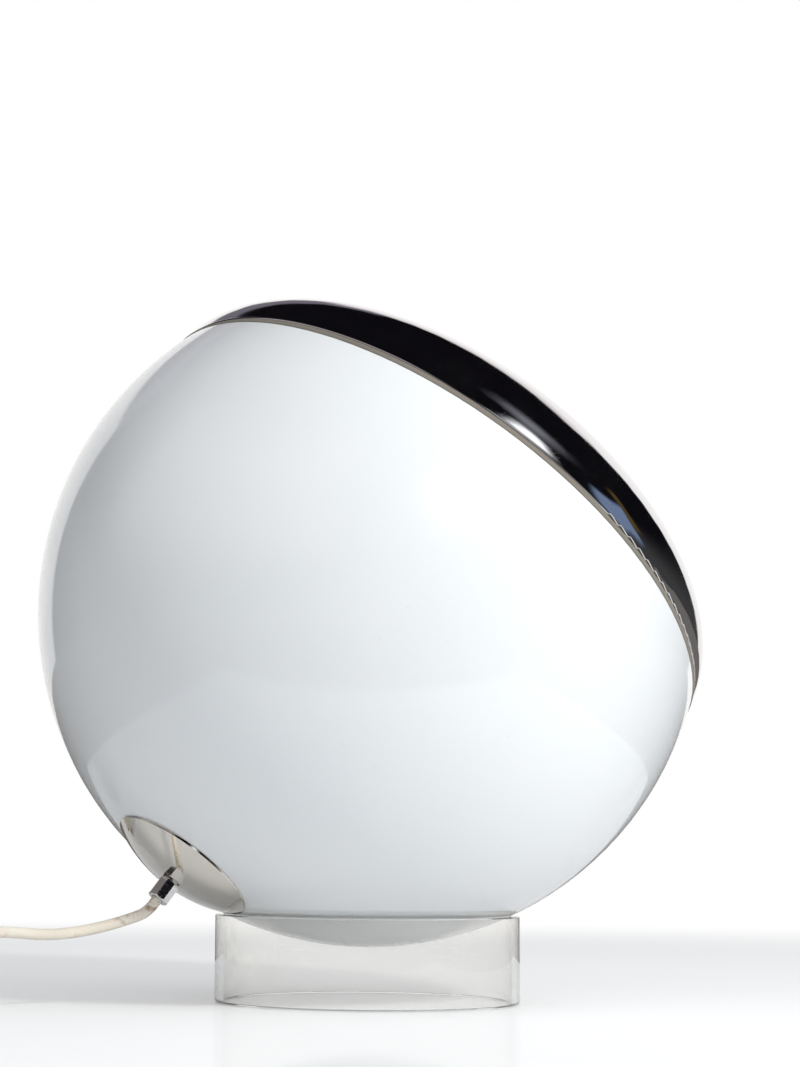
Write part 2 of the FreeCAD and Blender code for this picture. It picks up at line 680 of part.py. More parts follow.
ovals = []
for wall in (size(0), dim["cap_wall"]):
    wide = bead_circle + dim["cap_wall"] / 2 - wall
    rise = dim["cap_rise"] - wall
    middle_point = Vector(0, bead_level.number, 0)
    oval_curve = Part.Ellipse(
        middle_point + Vector(wide.number, 0, 0), middle_point + Vector(0, rise.number, 0), middle_point)
    angle = meeting_angle(wide.number, rise.number)
    top_angle = math.acos(dim["crown_spot"].number / wide.number)
    oval = cap_sketch.addGeometry(Part.ArcOfEllipse(oval_curve, angle, top_angle))
    axes = cap_sketch.GeometryCount
    cap_sketch.exposeInternalGeometry(oval)
    pin_point(cap_sketch, oval, 3, 0, bead_level)
    pin_point(cap_sketch, axes, 1, wide, bead_level)
    top = cap_sketch.addConstraint(
        Sketcher.Constraint("DistanceY", -1, 1, axes + 1, 1, (bead_level + rise).number))
    cap_sketch.setExpression("Constraints[%d]" % top, (bead_level + rise).formula)
    spot = cap_sketch.addConstraint(
        Sketcher.Constraint("DistanceX", -1, 1, oval, 2, dim["crown_spot"].number))
    cap_sketch.setExpression("Constraints[%d]" % spot, "Dims.crown_spot")
    spot_level = bead_level.number + rise.number * math.sin(top_angle)
    flat_spot = cap_sketch.addGeometry(
        Part.LineSegment(Vector(dim["crown_spot"].number, spot_level, 0), Vector(0, spot_level, 0)))
    cap_sketch.addConstraint(Sketcher.Constraint("Coincident", flat_spot, 1, oval, 2))
    cap_sketch.addConstraint(Sketcher.Constraint("PointOnObject", flat_spot, 2, -2))
    cap_sketch.addConstraint(Sketcher.Constraint("Horizontal", flat_spot))
    leaving = Vector(wide.number * math.cos(angle), bead_level.number + rise.number * math.sin(angle), 0)
    ovals.append((oval, leaving, flat_spot))
bead_middle = Vector(bead_circle.number, bead_level.number, 0)
outer_way = ovals[0][1] - bead_middle
inner_way = ovals[1][1] - bead_middle
bead_start = math.atan2(inner_way.y, inner_way.x)
bead_stop = math.atan2(outer_way.y, outer_way.x) + 2 * math.pi
bead = cap_sketch.addGeometry(Part.ArcOfCircle(
    Part.Circle(bead_middle, Vector(0, 0, 1), dim["bead_radius"].number), bead_start, bead_stop))
pin_point(cap_sketch, bead, 3, bead_circle, bead_level)
bead_bound = cap_sketch.addConstraint(Sketcher.Constraint("Radius", bead, dim["bead_radius"].number))
cap_sketch.setExpression("Constraints[%d]" % bead_bound, "Dims.bead_radius")
cap_sketch.addConstraint(Sketcher.Constraint("Coincident", bead, 1, ovals[1][0], 1))
cap_sketch.addConstraint(Sketcher.Constraint("Coincident", bead, 2, ovals[0][0], 1))
crown_line = cap_sketch.addGeometry(Part.LineSegment(
    cap_sketch.getPoint(ovals[0][2], 2), cap_sketch.getPoint(ovals[1][2], 2)))
cap_sketch.addConstraint(Sketcher.Constraint("Coincident", crown_line, 1, ovals[0][2], 2))
cap_sketch.addConstraint(Sketcher.Constraint("Coincident", crown_line, 2, ovals[1][2], 2))
check_sketch(cap_sketch)
cap_turn = dome_cap.newObject("PartDesign::Revolution", "dome_cap_turn")
cap_turn.Profile = cap_sketch
cap_turn.ReferenceAxis = (cap_sketch, ["V_Axis"])
cap_turn.Angle = 360
refresh(cap_turn, dome_cap)
if dome_cap.Shape.Volume < math.pi * bead_circle.number ** 2 * dim["cap_wall"].number:
    raise RuntimeError("the cap is not a full shell")
keep(dome_cap, LAMP)

gasket_outer = mouth_outer - 0.1
turned("rim_gasket", [
    (mouth_outer - dim["gasket_width"], gasket_low), (gasket_outer - dim["gasket_round"], gasket_low),
    (gasket_outer, gasket_low + dim["gasket_round"]), (gasket_outer, gasket_high - dim["gasket_round"]),
    (gasket_outer - dim["gasket_round"], gasket_high), (mouth_outer - dim["gasket_width"], gasket_high),
], {1: (dim["gasket_round"], -1), 3: (dim["gasket_round"], -1)})
guide_outer = mouth_inner - dim["guide_gap"]
guide_high = mouth + dim["guide_top"]
guide_ratio = (guide_high - bead_level) / (dim["cap_rise"] - dim["cap_wall"])
guide_flange = (bead_circle - dim["cap_wall"] / 2) * root(1 - guide_ratio * guide_ratio) - 0.1
turned("guide_ring", [
    (guide_outer - dim["guide_wall"], mouth - dim["guide_depth"]), (guide_outer, mouth - dim["guide_depth"]),
    (guide_outer, guide_high - dim["guide_wall"]), (guide_flange, guide_high - dim["guide_wall"]),
    (guide_flange, guide_high), (guide_outer - dim["guide_wall"], guide_high),
])

# The mains lead on the table side; its route follows from where the gland points
exit_point = ball_centre + lamp_axis * sheath_end.number
exit_height = exit_point.z
thick = dim["cord_radius"].number
FLOOR_GAP = 0.05
lie = thick + FLOOR_GAP
MODEL_EXIT = 55.82


def route(dx, y, z, free=False):
    """A route point given from the exit; free points keep their share of the exit's height."""
    if free:
        z = lie + (z - 3.05) / (MODEL_EXIT - 3.05) * (exit_height - lie)
    return Vector(exit_point.x + dx, y, z)


switch_mid = dim["switch_height"].number / 2
SWITCH_HEADING = 100.0
switch_way = Vector(math.cos(math.radians(SWITCH_HEADING)), math.sin(math.radians(SWITCH_HEADING)), 0)
switch_in = route(-221.0, 74.0, switch_mid)
switch_out = switch_in + switch_way * dim["switch_length"].number
sleeve_depth = 5.0

lead_points = [
    exit_point - lamp_axis * dim["lead_gap"].number,
    route(-4.4, 0, 50.4, True),
    route(-14.4, 0, 47.0, True),
    route(-27.0, 0, 43.6, True),
    route(-43.5, 0, 40.3, True),
    route(-63.0, 0, 38.6, True),
    route(-84.0, 0.3, 40.6, True),
    route(-106.0, 1.5, 40.6, True),
    route(-129.0, 4.0, 33.5, True),
    route(-150.0, 8.5, 22.0, True),
    route(-170.0, 15.5, 10.5, True),
    route(-188.0, 25.0, 4.0, True),
    route(-203.0, 37.0, lie),
    switch_in - switch_way * 22 + Vector(0, 0, lie + 1.6 - switch_mid),
    switch_in - switch_way * 8,
    switch_in + switch_way * sleeve_depth,
]
lead_length = tube("cord_lead", lead_points, thick)

outer_turn = (dim["coil_radius"] + dim["coil_width"] / 2 - dim["cord_radius"]).number
coil_centre = Vector(switch_out.x - 4 + outer_turn, switch_out.y + 52, 0)
coil_entry = coil_centre + Vector(-outer_turn, 0, lie)
link_points = [
    switch_out - switch_way * sleeve_depth,
    switch_out + switch_way * 8,
    switch_out + switch_way * 21 + Vector(0.6, 0, lie + 1.4 - switch_mid),
    coil_entry + Vector(-0.7, -15.5, 0),
    coil_entry,
]
link_length = tube("cord_link", link_points, thick)

coil_inner = dim["coil_radius"] - dim["coil_width"] / 2
coil_outer = dim["coil_radius"] + dim["coil_width"] / 2
coil_top = dim["coil_height"]
COIL_ROUND = 2
turned("cord_coil", [
    (coil_inner + COIL_ROUND, FLOOR_GAP), (coil_outer - COIL_ROUND, FLOOR_GAP),
    (coil_outer, COIL_ROUND + FLOOR_GAP), (coil_outer, coil_top - COIL_ROUND),
    (coil_outer - COIL_ROUND, coil_top), (coil_inner + COIL_ROUND, coil_top),
    (coil_inner, coil_top - COIL_ROUND), (coil_inner, COIL_ROUND + FLOOR_GAP),
], {corner: (COIL_ROUND, -1) for corner in (1, 3, 5, 7)}, place=Placement(coil_centre, Rotation()))

# The tail leaves the coil along +X and ends in the plug
PLUG_HEADING = 38.0
plug_way = Vector(math.cos(math.radians(PLUG_HEADING)), math.sin(math.radians(PLUG_HEADING)), 0)
plug_axis_height = dim["plug_radius"].number + 0.05
coil_exit = coil_centre + Vector(0, outer_turn, dim["coil_height"].number - thick)
plug_rear = Vector(coil_exit.x + 84, coil_exit.y + 21, plug_axis_height)
tail_points = [
    coil_exit,
    coil_exit + Vector(18, -0.4, -0.4),
    coil_exit + Vector(38, 1.0, -1.4),
    coil_exit + Vector(57, 6.0, 1.0),
    plug_rear - plug_way * 14,
    plug_rear + plug_way * 4,
]
tail_length = tube("cord_tail", tail_points, thick)
print("switch", switch_in, switch_out, "coil", coil_centre, "plug", plug_rear)
print("exit", exit_point, "centre height", ball_height.number)

# The inline switch: two shells, a rocker and two screws; its own X runs along the lead
switch_centre = (switch_in + switch_out) / 2
switch_place = Placement(Vector(switch_centre.x, switch_centre.y, 0),
                         Rotation(Vector(0, 0, 1), SWITCH_HEADING))


def switch_shell(label, low, high, open_low):
    """One shell of the switch: a rounded block, hollowed from the parting face, with the lead's grooves."""
    points, bends = rounded_rectangle(dim["switch_length"], dim["switch_width"], dim["switch_corner"])
    body = padded(label, points, bends, "XY_Plane", low, high - low, listed=False)
    base = body.Tip
    rim_level = high.number if open_low else low.number
    names = edges_of(base.Shape, lambda middle, edge: abs(middle.z - rim_level) < 1e-3)
    round_over = body.newObject("PartDesign::Fillet", label + "_round")
    round_over.Base = (base, names)
    round_over.Radius = 2.5
    refresh(round_over)
    wall = dim["switch_wall"]
    hollow_points, hollow_bends = rounded_rectangle(
        dim["switch_length"] - wall * 6, dim["switch_width"] - wall * 2, dim["switch_corner"] - wall)
    floor_level = low if open_low else low + wall
    cavity = new_sketch(body, label + "_cavity", "XY_Plane", floor_level)
    draw_outline(cavity, hollow_points, hollow_bends)
    check_sketch(cavity)
    start_volume = round_over.Shape.Volume
    pocket = body.newObject("PartDesign::Pocket", label + "_hollow")
    pocket.Profile = cavity
    pocket.setExpression("Length", (high - low - wall).formula)
    pocket.Reversed = True
    refresh(pocket)
    if pocket.Shape.Volume > start_volume - 100:
        pocket.Reversed = False
        refresh(pocket)
    if pocket.Shape.Volume > start_volume - 100:
        raise RuntimeError("%s is not hollow" % label)
    groove = new_sketch(body, label + "_lead", "YZ_Plane", size(0))
    round_index = groove.addGeometry(Part.Circle(Vector(0, switch_mid, 0), Vector(0, 0, 1), thick))
    reach = groove.addConstraint(Sketcher.Constraint("Radius", round_index, thick))
    groove.setExpression("Constraints[%d]" % reach, "Dims.cord_radius")
    level = groove.addConstraint(Sketcher.Constraint("DistanceY", -1, 1, round_index, 3, switch_mid))
    groove.setExpression("Constraints[%d]" % level, "Dims.switch_height / 2")
    groove.addConstraint(Sketcher.Constraint("PointOnObject", round_index, 3, -2))
    check_sketch(groove)
    through = body.newObject("PartDesign::Pocket", label + "_grooves")
    through.Profile = groove
    through.Midplane = True
    through.Type = 0
    through.setExpression("Length", "Dims.switch_length + 20")
    refresh(through, body)
    return body


half = dim["switch_height"] / 2
screw_spot = dim["switch_length"] / 2 - 9
SCREW_HEAD = 2.4
SCREW_SHANK = 1.2
SCREW_SINK = 1.2
base_shell = switch_shell("switch_base", size(0), half, False)
for step, (name, radius) in enumerate((("sinks", SCREW_HEAD), ("shanks", SCREW_SHANK))):
    spots = new_sketch(base_shell, "switch_" + name, "XY_Plane")
    for side in (-1, 1):
        spot = spots.addGeometry(Part.Circle(Vector(side * screw_spot.number, 0, 0), Vector(0, 0, 1), radius))
        spots.addConstraint(Sketcher.Constraint("Radius", spot, radius))
        along = spots.addConstraint(
            Sketcher.Constraint("DistanceX", -1, 1, spot, 3, side * screw_spot.number))
        spots.setExpression("Constraints[%d]" % along, (screw_spot * side).formula)
        spots.addConstraint(Sketcher.Constraint("PointOnObject", spot, 3, -1))
    check_sketch(spots)
    solid_before = base_shell.Tip.Shape.Volume
    sink = base_shell.newObject("PartDesign::Pocket", "switch_%s_cut" % name)
    sink.Profile = spots
    sink.Length = SCREW_SINK if step == 0 else dim["switch_wall"].number + 1
    sink.Reversed = True
    refresh(sink, base_shell)
    if sink.Shape.Volume > solid_before - 1:
        sink.Reversed = False
        refresh(sink, base_shell)
    if sink.Shape.Volume > solid_before - 1:
        raise RuntimeError("the switch base's %s cut nothing" % name)
keep(base_shell, switch_place)
upper = switch_shell("switch_cover_blank", half, dim["switch_height"], True)
window_length = dim["rocker_length"] + dim["rocker_gap"] * 2
window_width = dim["rocker_width"] + dim["rocker_gap"] * 2
window = doc.addObject("Part::Box", "switch_window")
window.setExpression("Length", window_length.formula)
window.setExpression("Width", window_width.formula)
window.setExpression("Height", "Dims.switch_height")
window_spot = "vector(-(%s) / 2; -(%s) / 2; %s + 3)" % (
    window_length.formula, window_width.formula, half.formula)
window.setExpression("Placement", "placement(%s; rotation(vector(0; 0; 1); 0))" % window_spot)
cover = doc.addObject("Part::Cut", "switch_cover")
cover.Base = upper
cover.Tool = window
refresh(window, cover)
keep(cover, switch_place)

# The rocker rests tipped to its off side about a pivot across the switch
pivot_level = dim["switch_height"] - 4.5
rocker_half = dim["rocker_length"] / 2
rocker = padded("switch_rocker", [
    (-(rocker_half - 1.5), -3.5), (rocker_half - 1.5, -3.5), (rocker_half, 4.2), (rocker_half - 0.8, 5.0),
    (0, 3.9), (-(rocker_half - 0.8), 5.0), (-rocker_half, 4.2),
], {}, "XZ_Plane", size(0), dim["rocker_width"], both=True, listed=False)
PIVOT_RADIUS = 1.3
pivots = new_sketch(rocker, "rocker_pivots", "XZ_Plane")
pivot_circle = pivots.addGeometry(Part.Circle(Vector(0, 0, 0), Vector(0, 0, 1), PIVOT_RADIUS))
pivots.addConstraint(Sketcher.Constraint("Radius", pivot_circle, PIVOT_RADIUS))
pivots.addConstraint(Sketcher.Constraint("Coincident", pivot_circle, 3, -1, 1))
check_sketch(pivots)
pivot_pad = rocker.newObject("PartDesign::Pad", "rocker_pivot_pad")
pivot_pad.Profile = pivots
pivot_pad.setExpression("Length", "Dims.rocker_width + Dims.rocker_gap")
pivot_pad.Midplane = True
refresh(pivot_pad, rocker)
rocker_turn = Rotation(Vector(0, 1, 0), -dim["rocker_tilt"].number)
keep(rocker, switch_place.multiply(Placement(Vector(0, 0, pivot_level.number), rocker_turn)))

case_screw = turned("case_screw", [
    (0, 0.1), (SCREW_HEAD - 0.3, 0.1), (SCREW_HEAD, 0.4), (SCREW_HEAD, SCREW_SINK), (SCREW_SHANK, SCREW_SINK),
    (SCREW_SHANK, 6.0), (0, 6.0),
], place=None, listed=False)
case_screw_pair = []
for side in (-1, 1):
    copy = case_screw.Shape.copy()
    copy.translate(Vector(side * screw_spot.number, 0, 0))
    for turn_angle in (0, 90):
        slot = Part.makeBox(3.0, 0.7, 0.7, Vector(-1.5, -0.35, 0))
        slot.rotate(Vector(0, 0, 0), Vector(0, 0, 1), turn_angle + 20)
        slot.translate(Vector(side * screw_spot.number, 0, 0))
        copy = copy.cut(slot)
    case_screw_pair.append(copy)
case_screws = doc.addObject("Part::Feature", "case_screws")
case_screws.Shape = Part.makeCompound(case_screw_pair)
keep(case_screws, switch_place)

# The plug lies on the table, its face away from the coil; its own Z runs from rear to pins
rear = dim["relief_length"]
face = rear + dim["plug_length"]
plug_side = Vector(-plug_way.y, plug_way.x, 0)
plug_tilt = Placement(plug_rear, Rotation(plug_side, Vector(0, 0, 1), plug_way, "ZXY"))
turned("plug_relief", [
    (dim["cord_radius"], 0), (dim["cord_radius"] + 0.9, 0), (dim["relief_radius"], rear),
    (dim["cord_radius"], rear),
], place=plug_tilt)
turned("plug_body_blank", [
    (0, rear), (dim["relief_radius"] + 1.6, rear), (dim["plug_waist"] - 2, rear + 6),
    (dim["plug_waist"], rear + 18),
    (dim["plug_waist"] + 0.5, face - 13), (dim["plug_radius"], face - 9), (dim["plug_radius"], face - 1),
    (dim["plug_radius"] - 1, face), (0, face),
], place=None, listed=False)
plug_blank = doc.getObject("plug_body_blank")
notches = []
for side in (-1, 1):
    notches.append(Part.makeBox(5.2, 2.0, 20, Vector(-2.6, side * (dim["plug_radius"].number - 1) - 1.0,
                                                     face.number - 16)))
plug_body = doc.addObject("Part::Feature", "plug_body")
plug_shape = plug_blank.Shape.copy()
plug_shape.Placement = Placement()
for notch in notches:
    plug_shape = plug_shape.cut(notch)
plug_body.Shape = plug_shape
keep(plug_body, plug_tilt)

clips = []
for side in (-1, 1):
    clip = Part.makeBox(4.0, 0.9, 14, Vector(-2.0, side * (dim["plug_radius"].number - 1.4) - 0.45,
                                             face.number - 15))
    clips.append(clip)
plug_clips = doc.addObject("Part::Feature", "plug_clips")
plug_clips.Shape = Part.makeCompound(clips)
keep(plug_clips, plug_tilt)

pin = turned("plug_pin", [
    (0, face), (dim["pin_radius"], face), (dim["pin_radius"], face + dim["pin_length"] - 1.6),
    (dim["pin_radius"] - 1.4, face + dim["pin_length"]), (0, face + dim["pin_length"]),
], place=None, listed=False)
pins = []
for side in (-1, 1):
    copy = pin.Shape.copy()
    copy.translate(Vector(side * dim["pin_spacing"].number / 2, 0, 0))
    pins.append(copy)
plug_pins = doc.addObject("Part::Feature", "plug_pins")
plug_pins.Shape = Part.makeCompound(pins)
keep(plug_pins, plug_tilt)

# Everything is checked before anything is written
doc.recompute()
for thing in doc.Objects:
    if "Invalid" in thing.State or "Error" in thing.State:
        raise RuntimeError("%s failed: %s" % (thing.Name, thing.State))
for piece in pieces:
    if piece.Shape.isNull() or not piece.Shape.isValid() or not piece.Shape.Solids:
        raise RuntimeError("%s has no valid solid" % piece.Label)

os.makedirs("parts", exist_ok=True)
for old in os.listdir("parts"):
    if old.endswith(".step"):
        os.remove(os.path.join("parts", old))
for piece in pieces:
    piece.Shape.exportStep(os.path.join("parts", piece.Label + ".step"))
print("pieces", len(pieces), "cord", round(lead_length + link_length + tail_length, 1))
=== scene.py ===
import json
import math

import bpy
from mathutils import Matrix, Vector
from mathutils.kdtree import KDTree


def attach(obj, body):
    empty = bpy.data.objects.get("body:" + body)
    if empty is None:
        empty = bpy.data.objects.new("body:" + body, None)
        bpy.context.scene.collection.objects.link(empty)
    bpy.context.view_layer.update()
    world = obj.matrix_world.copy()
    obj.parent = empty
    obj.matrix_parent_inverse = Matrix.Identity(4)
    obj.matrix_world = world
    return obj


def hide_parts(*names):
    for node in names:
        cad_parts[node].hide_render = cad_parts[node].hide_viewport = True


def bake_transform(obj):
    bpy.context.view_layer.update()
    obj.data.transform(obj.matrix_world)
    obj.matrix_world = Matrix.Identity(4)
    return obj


# Globe table lamp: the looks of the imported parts, a smooth mains lead and a plain studio.
# Metres, +Z up, origin on the table under the middle of the glass ball.

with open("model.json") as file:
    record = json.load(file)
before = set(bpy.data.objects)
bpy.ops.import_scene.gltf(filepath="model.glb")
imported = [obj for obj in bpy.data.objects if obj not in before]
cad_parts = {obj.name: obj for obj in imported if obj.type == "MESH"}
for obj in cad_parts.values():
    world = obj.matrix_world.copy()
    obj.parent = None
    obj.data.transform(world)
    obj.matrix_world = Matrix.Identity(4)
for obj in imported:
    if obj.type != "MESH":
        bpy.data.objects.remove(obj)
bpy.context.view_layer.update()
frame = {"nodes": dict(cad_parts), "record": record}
nodes = frame["nodes"]
scene = bpy.context.scene
MM = 0.001

# The photograph's camera
PHOTO_LONG_SIDE = 1067
FOCAL_PIXELS = 2401.28
AXIS_PIXELS = 100.0
SENSOR = 36.0
NEAREST_SEEN = 0.05
FARTHEST_SEEN = 50
CAMERA_PLACE = Vector((-0.6935, -1.1948, 0.0863))
CAMERA_HEADING = -28.47
CAMERA_PITCH = 7.43
CAMERA_ROLL = 0.5


def turned_to(heading, pitch, roll):
    """A turn that looks along a heading, pitched up and rolled, in degrees."""
    level = Matrix.Rotation(math.radians(heading), 4, "Z")
    raised = Matrix.Rotation(math.radians(90 + pitch), 4, "X")
    return level @ raised @ Matrix.Rotation(math.radians(roll), 4, "Z")


def make_camera():
    data = bpy.data.cameras.new("camera")
    data.sensor_width = SENSOR
    data.lens = FOCAL_PIXELS * SENSOR / PHOTO_LONG_SIDE
    data.shift_x = AXIS_PIXELS / PHOTO_LONG_SIDE
    data.clip_start = NEAREST_SEEN
    data.clip_end = FARTHEST_SEEN
    camera = bpy.data.objects.new("camera", data)
    scene.collection.objects.link(camera)
    turn = turned_to(CAMERA_HEADING, CAMERA_PITCH, CAMERA_ROLL)
    camera.matrix_world = Matrix.Translation(CAMERA_PLACE) @ turn
    scene.camera = camera


# The mains lead's way out of the gland and through the switch, as in the part's source
CORD_DIAMETER = 6.0 * MM
LIE = 3.05 * MM
LEAN = math.radians(39)
EXIT = Vector((-133.1013, 0, 55.8033)) * MM
EXIT_WAY = Vector((-math.sin(LEAN), 0, -math.cos(LEAN)))
LEAD_GAP = 0.1 * MM
SWITCH_HEADING = math.radians(100)
SWITCH_WAY = Vector((math.cos(SWITCH_HEADING), math.sin(SWITCH_HEADING), 0))
SWITCH_BEFORE_EXIT = 221 * MM
SWITCH_ASIDE = 74 * MM
SWITCH_MIDDLE = 8.5 * MM
SWITCH_LENGTH = 64 * MM
SWITCH_IN = Vector((EXIT.x - SWITCH_BEFORE_EXIT, SWITCH_ASIDE, SWITCH_MIDDLE))
SWITCH_OUT = SWITCH_IN + SWITCH_WAY * SWITCH_LENGTH
SLEEVE_DEPTH = 5 * MM
LEAD_LENGTH = 0.27


def from_exit(dx, y, z):
    """A route point from millimetres along X past the exit, and across and up."""
    return Vector((EXIT.x + dx * MM, y * MM, z * MM))


def by_switch(end, along, dx=0.0, above_lie=None):
    """A route point, in millimetres along the switch's line from one of its ends and along X.

    It is level with the switch's middle, or at a height above the one at which the lead lies.
    """
    point = end + SWITCH_WAY * along * MM + Vector((dx, 0, 0)) * MM
    if above_lie is not None:
        point.z = LIE + above_lie * MM
    return point


LEAD_ROUTE = [
    EXIT + EXIT_WAY * LEAD_GAP,
    from_exit(-4.4, 0, 50.4),
    from_exit(-14.4, 0, 47.0),
    from_exit(-27.0, 0, 43.6),
    from_exit(-43.5, 0, 40.3),
    from_exit(-63.0, 0, 38.6),
    from_exit(-84.0, 0.3, 40.6),
    from_exit(-106.0, 1.5, 40.6),
    from_exit(-129.0, 4.0, 33.5),
    from_exit(-150.0, 8.5, 22.0),
    from_exit(-170.0, 15.5, 10.5),
    from_exit(-188.0, 25.0, 4.0),
    from_exit(-203.0, 37.0, 3.05),
    by_switch(SWITCH_IN, -22, above_lie=1.6),
    by_switch(SWITCH_IN, -8),
    SWITCH_IN + SWITCH_WAY * SLEEVE_DEPTH,
]

# The coil: three turns inward on the table, a climb of a quarter turn and three turns outward on top;
# its curve runs at CURVE_PULL of its control points' distance from the middle
COIL_OUTER = 43.15 * MM
COIL_BEFORE_SWITCH = 4 * MM
COIL_ASIDE = 52 * MM
COIL_MIDDLE = Vector((SWITCH_OUT.x - COIL_BEFORE_SWITCH + COIL_OUTER, SWITCH_OUT.y + COIL_ASIDE, 0))
COIL_POINTS = 16
COIL_PITCH = 6.1 * MM
COIL_LAYER = 6.25 * MM
LAYER_TURNS = 3.0
CLIMB_TURNS = 0.25
CURVE_PULL = (3 + math.cos(2 * math.pi / COIL_POINTS)) / 4
COIL_ENTRY = COIL_MIDDLE + Vector((-COIL_OUTER, 0, LIE))
COIL_EXIT = COIL_MIDDLE + Vector((0, COIL_OUTER, LIE + COIL_LAYER))

# The plug beyond the coil, from the back end of its bend relief
PLUG_HEADING = math.radians(38)
PLUG_WAY = Vector((math.cos(PLUG_HEADING), math.sin(PLUG_HEADING), 0))
PLUG_PAST_COIL = 84 * MM
PLUG_ASIDE = 21 * MM
PLUG_AXIS_HEIGHT = 17.55 * MM
PLUG_REAR = Vector((COIL_EXIT.x + PLUG_PAST_COIL, COIL_EXIT.y + PLUG_ASIDE, PLUG_AXIS_HEIGHT))
PLUG_APPROACH = 14 * MM
RELIEF_LENGTH = 24 * MM


def coil_turns():
    """Points of the coil, clockwise from above, starting at its left side."""
    points = []
    turns = 2 * LAYER_TURNS + CLIMB_TURNS
    for i in range(int(turns * COIL_POINTS) + 1):
        turn = i / COIL_POINTS
        if turn < LAYER_TURNS:
            inward = turn
            climb = 0
        elif turn < LAYER_TURNS + CLIMB_TURNS:
            inward = LAYER_TURNS
            climb = (turn - LAYER_TURNS) / CLIMB_TURNS
        else:
            inward = turns - turn
            climb = 1
        radius = (COIL_OUTER - inward * COIL_PITCH) / CURVE_PULL
        angle = math.pi - turn * 2 * math.pi
        points.append(COIL_MIDDLE + Vector((
            radius * math.cos(angle), radius * math.sin(angle), LIE + climb * COIL_LAYER)))
    return points


def rest_route():
    """The lead from the switch through the coil to the plug."""
    to_coil = [
        SWITCH_OUT - SWITCH_WAY * SLEEVE_DEPTH,
        by_switch(SWITCH_OUT, 8),
        by_switch(SWITCH_OUT, 21, dx=0.6, above_lie=1.4),
        COIL_ENTRY + Vector((-0.7, -15.5, 0)) * MM,
    ]
    to_plug = [
        COIL_EXIT + Vector((18, -0.4, -0.4)) * MM,
        COIL_EXIT + Vector((38, 1.0, -1.4)) * MM,
        COIL_EXIT + Vector((57, 6.0, 1.0)) * MM,
        PLUG_REAR - PLUG_WAY * PLUG_APPROACH,
        PLUG_REAR + PLUG_WAY * RELIEF_LENGTH,
    ]
    return to_coil + coil_turns() + to_plug


# The order of the lead's spline, and how finely its stretches and its section are divided
SPLINE_ORDER = 3
STEPS_ALONG = 10
STEPS_AROUND = 6


def smooth_curve(name, points):
    """A curve of one smooth spline with these control points."""
    data = bpy.data.curves.new(name, "CURVE")
    data.dimensions = "3D"
    spline = data.splines.new("NURBS")
    spline.points.add(len(points) - 1)
    for point, place in zip(spline.points, points):
        point.co = (*place, 1)
    spline.order_u = SPLINE_ORDER
    spline.use_endpoint_u = True
    spline.resolution_u = STEPS_ALONG
    data.bevel_resolution = STEPS_AROUND
    data.use_fill_caps = True
    curve = bpy.data.objects.new(name, data)
    scene.collection.objects.link(curve)
    return curve


def mesh_of(curve):
    """The curve's mesh, with smooth faces."""
    bpy.context.view_layer.update()
    evaluated = curve.evaluated_get(bpy.context.evaluated_depsgraph_get())
    mesh = bpy.data.meshes.new_from_object(evaluated)
    for face in mesh.polygons:
        face.use_smooth = True
    return mesh


def lead_tube(name, route, start=0.0):
    """A tube of lead along a smooth spline, and the points that it follows."""
    line = smooth_curve(name + "_line", route)
    path = [vertex.co.copy() for vertex in mesh_of(line).vertices]
    line.data.bevel_depth = CORD_DIAMETER / 2
    mesh = mesh_of(line)
    bpy.data.objects.remove(line)
    tube = bpy.data.objects.new(name, mesh)
    scene.collection.objects.link(tube)
    mark_distance(mesh, path, start)
    return tube, path


def mark_distance(mesh, path, start):
    """Keeps on each point of the tube how far along the lead it lies, in metres."""
    along = [start]
    tree = KDTree(len(path))
    for i, place in enumerate(path):
        tree.insert(place, i)
        if i:
            along.append(along[-1] + (place - path[i - 1]).length)
    tree.balance()
    marks = mesh.attributes.new("along", "FLOAT", "POINT")
    for vertex, mark in zip(mesh.vertices, marks.data):
        mark.value = along[tree.find(vertex.co)[1]]


def make_lead():
    """The lead from the gland to the switch: a tube along a smooth spline."""
    lead, path = lead_tube("mains_lead", LEAD_ROUTE)
    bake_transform(lead)
    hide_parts("cord_lead")
    return lead


def make_rest_of_lead():
    """The lead from the switch through its coil to the plug."""
    cord, path = lead_tube("mains_lead_coil", rest_route(), LEAD_LENGTH)
    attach(cord, "base")
    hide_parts("cord_link", "cord_coil", "cord_tail")
    return cord


# Shader building

def feed(tree, socket, value):
    """Links a socket to the one that feeds it, or sets its value; a colour is given without alpha."""
    if isinstance(value, bpy.types.NodeSocket):
        tree.links.new(value, socket)
    elif socket.type == "RGBA":
        socket.default_value = (*value, 1)
    else:
        socket.default_value = value


def fill(tree, node, inputs):
    """Feeds a node's inputs, each known by its name or its number."""
    for name, value in inputs.items():
        feed(tree, node.inputs[name], value)


def add_node(tree, kind, inputs=None, **settings):
    """Adds a shader node with its settings; an input is a value or the socket that feeds it."""
    node = tree.nodes.new(kind)
    for name, value in settings.items():
        setattr(node, name, value)
    fill(tree, node, inputs or {})
    return node


def empty_tree(owner):
    """The node tree of a material or a world, with nothing in it."""
    owner.use_nodes = True
    owner.node_tree.nodes.clear()
    return owner.node_tree


def new_material(name):
    """A material of one shader, with its tree and that shader."""
    material = bpy.data.materials.new(name)
    tree = empty_tree(material)
    shader = add_node(tree, "ShaderNodeBsdfPrincipled")
    add_node(tree, "ShaderNodeOutputMaterial", {"Surface": shader.outputs[0]})
    return material, tree, shader


def place_on(tree, scale=(1, 1, 1), turn=(0, 0, 0)):
    """The piece's own coordinates, stretched and turned."""
    own = add_node(tree, "ShaderNodeTexCoord").outputs["Object"]
    return add_node(tree, "ShaderNodeMapping", {"Vector": own, "Scale": scale, "Rotation": turn}).outputs[0]


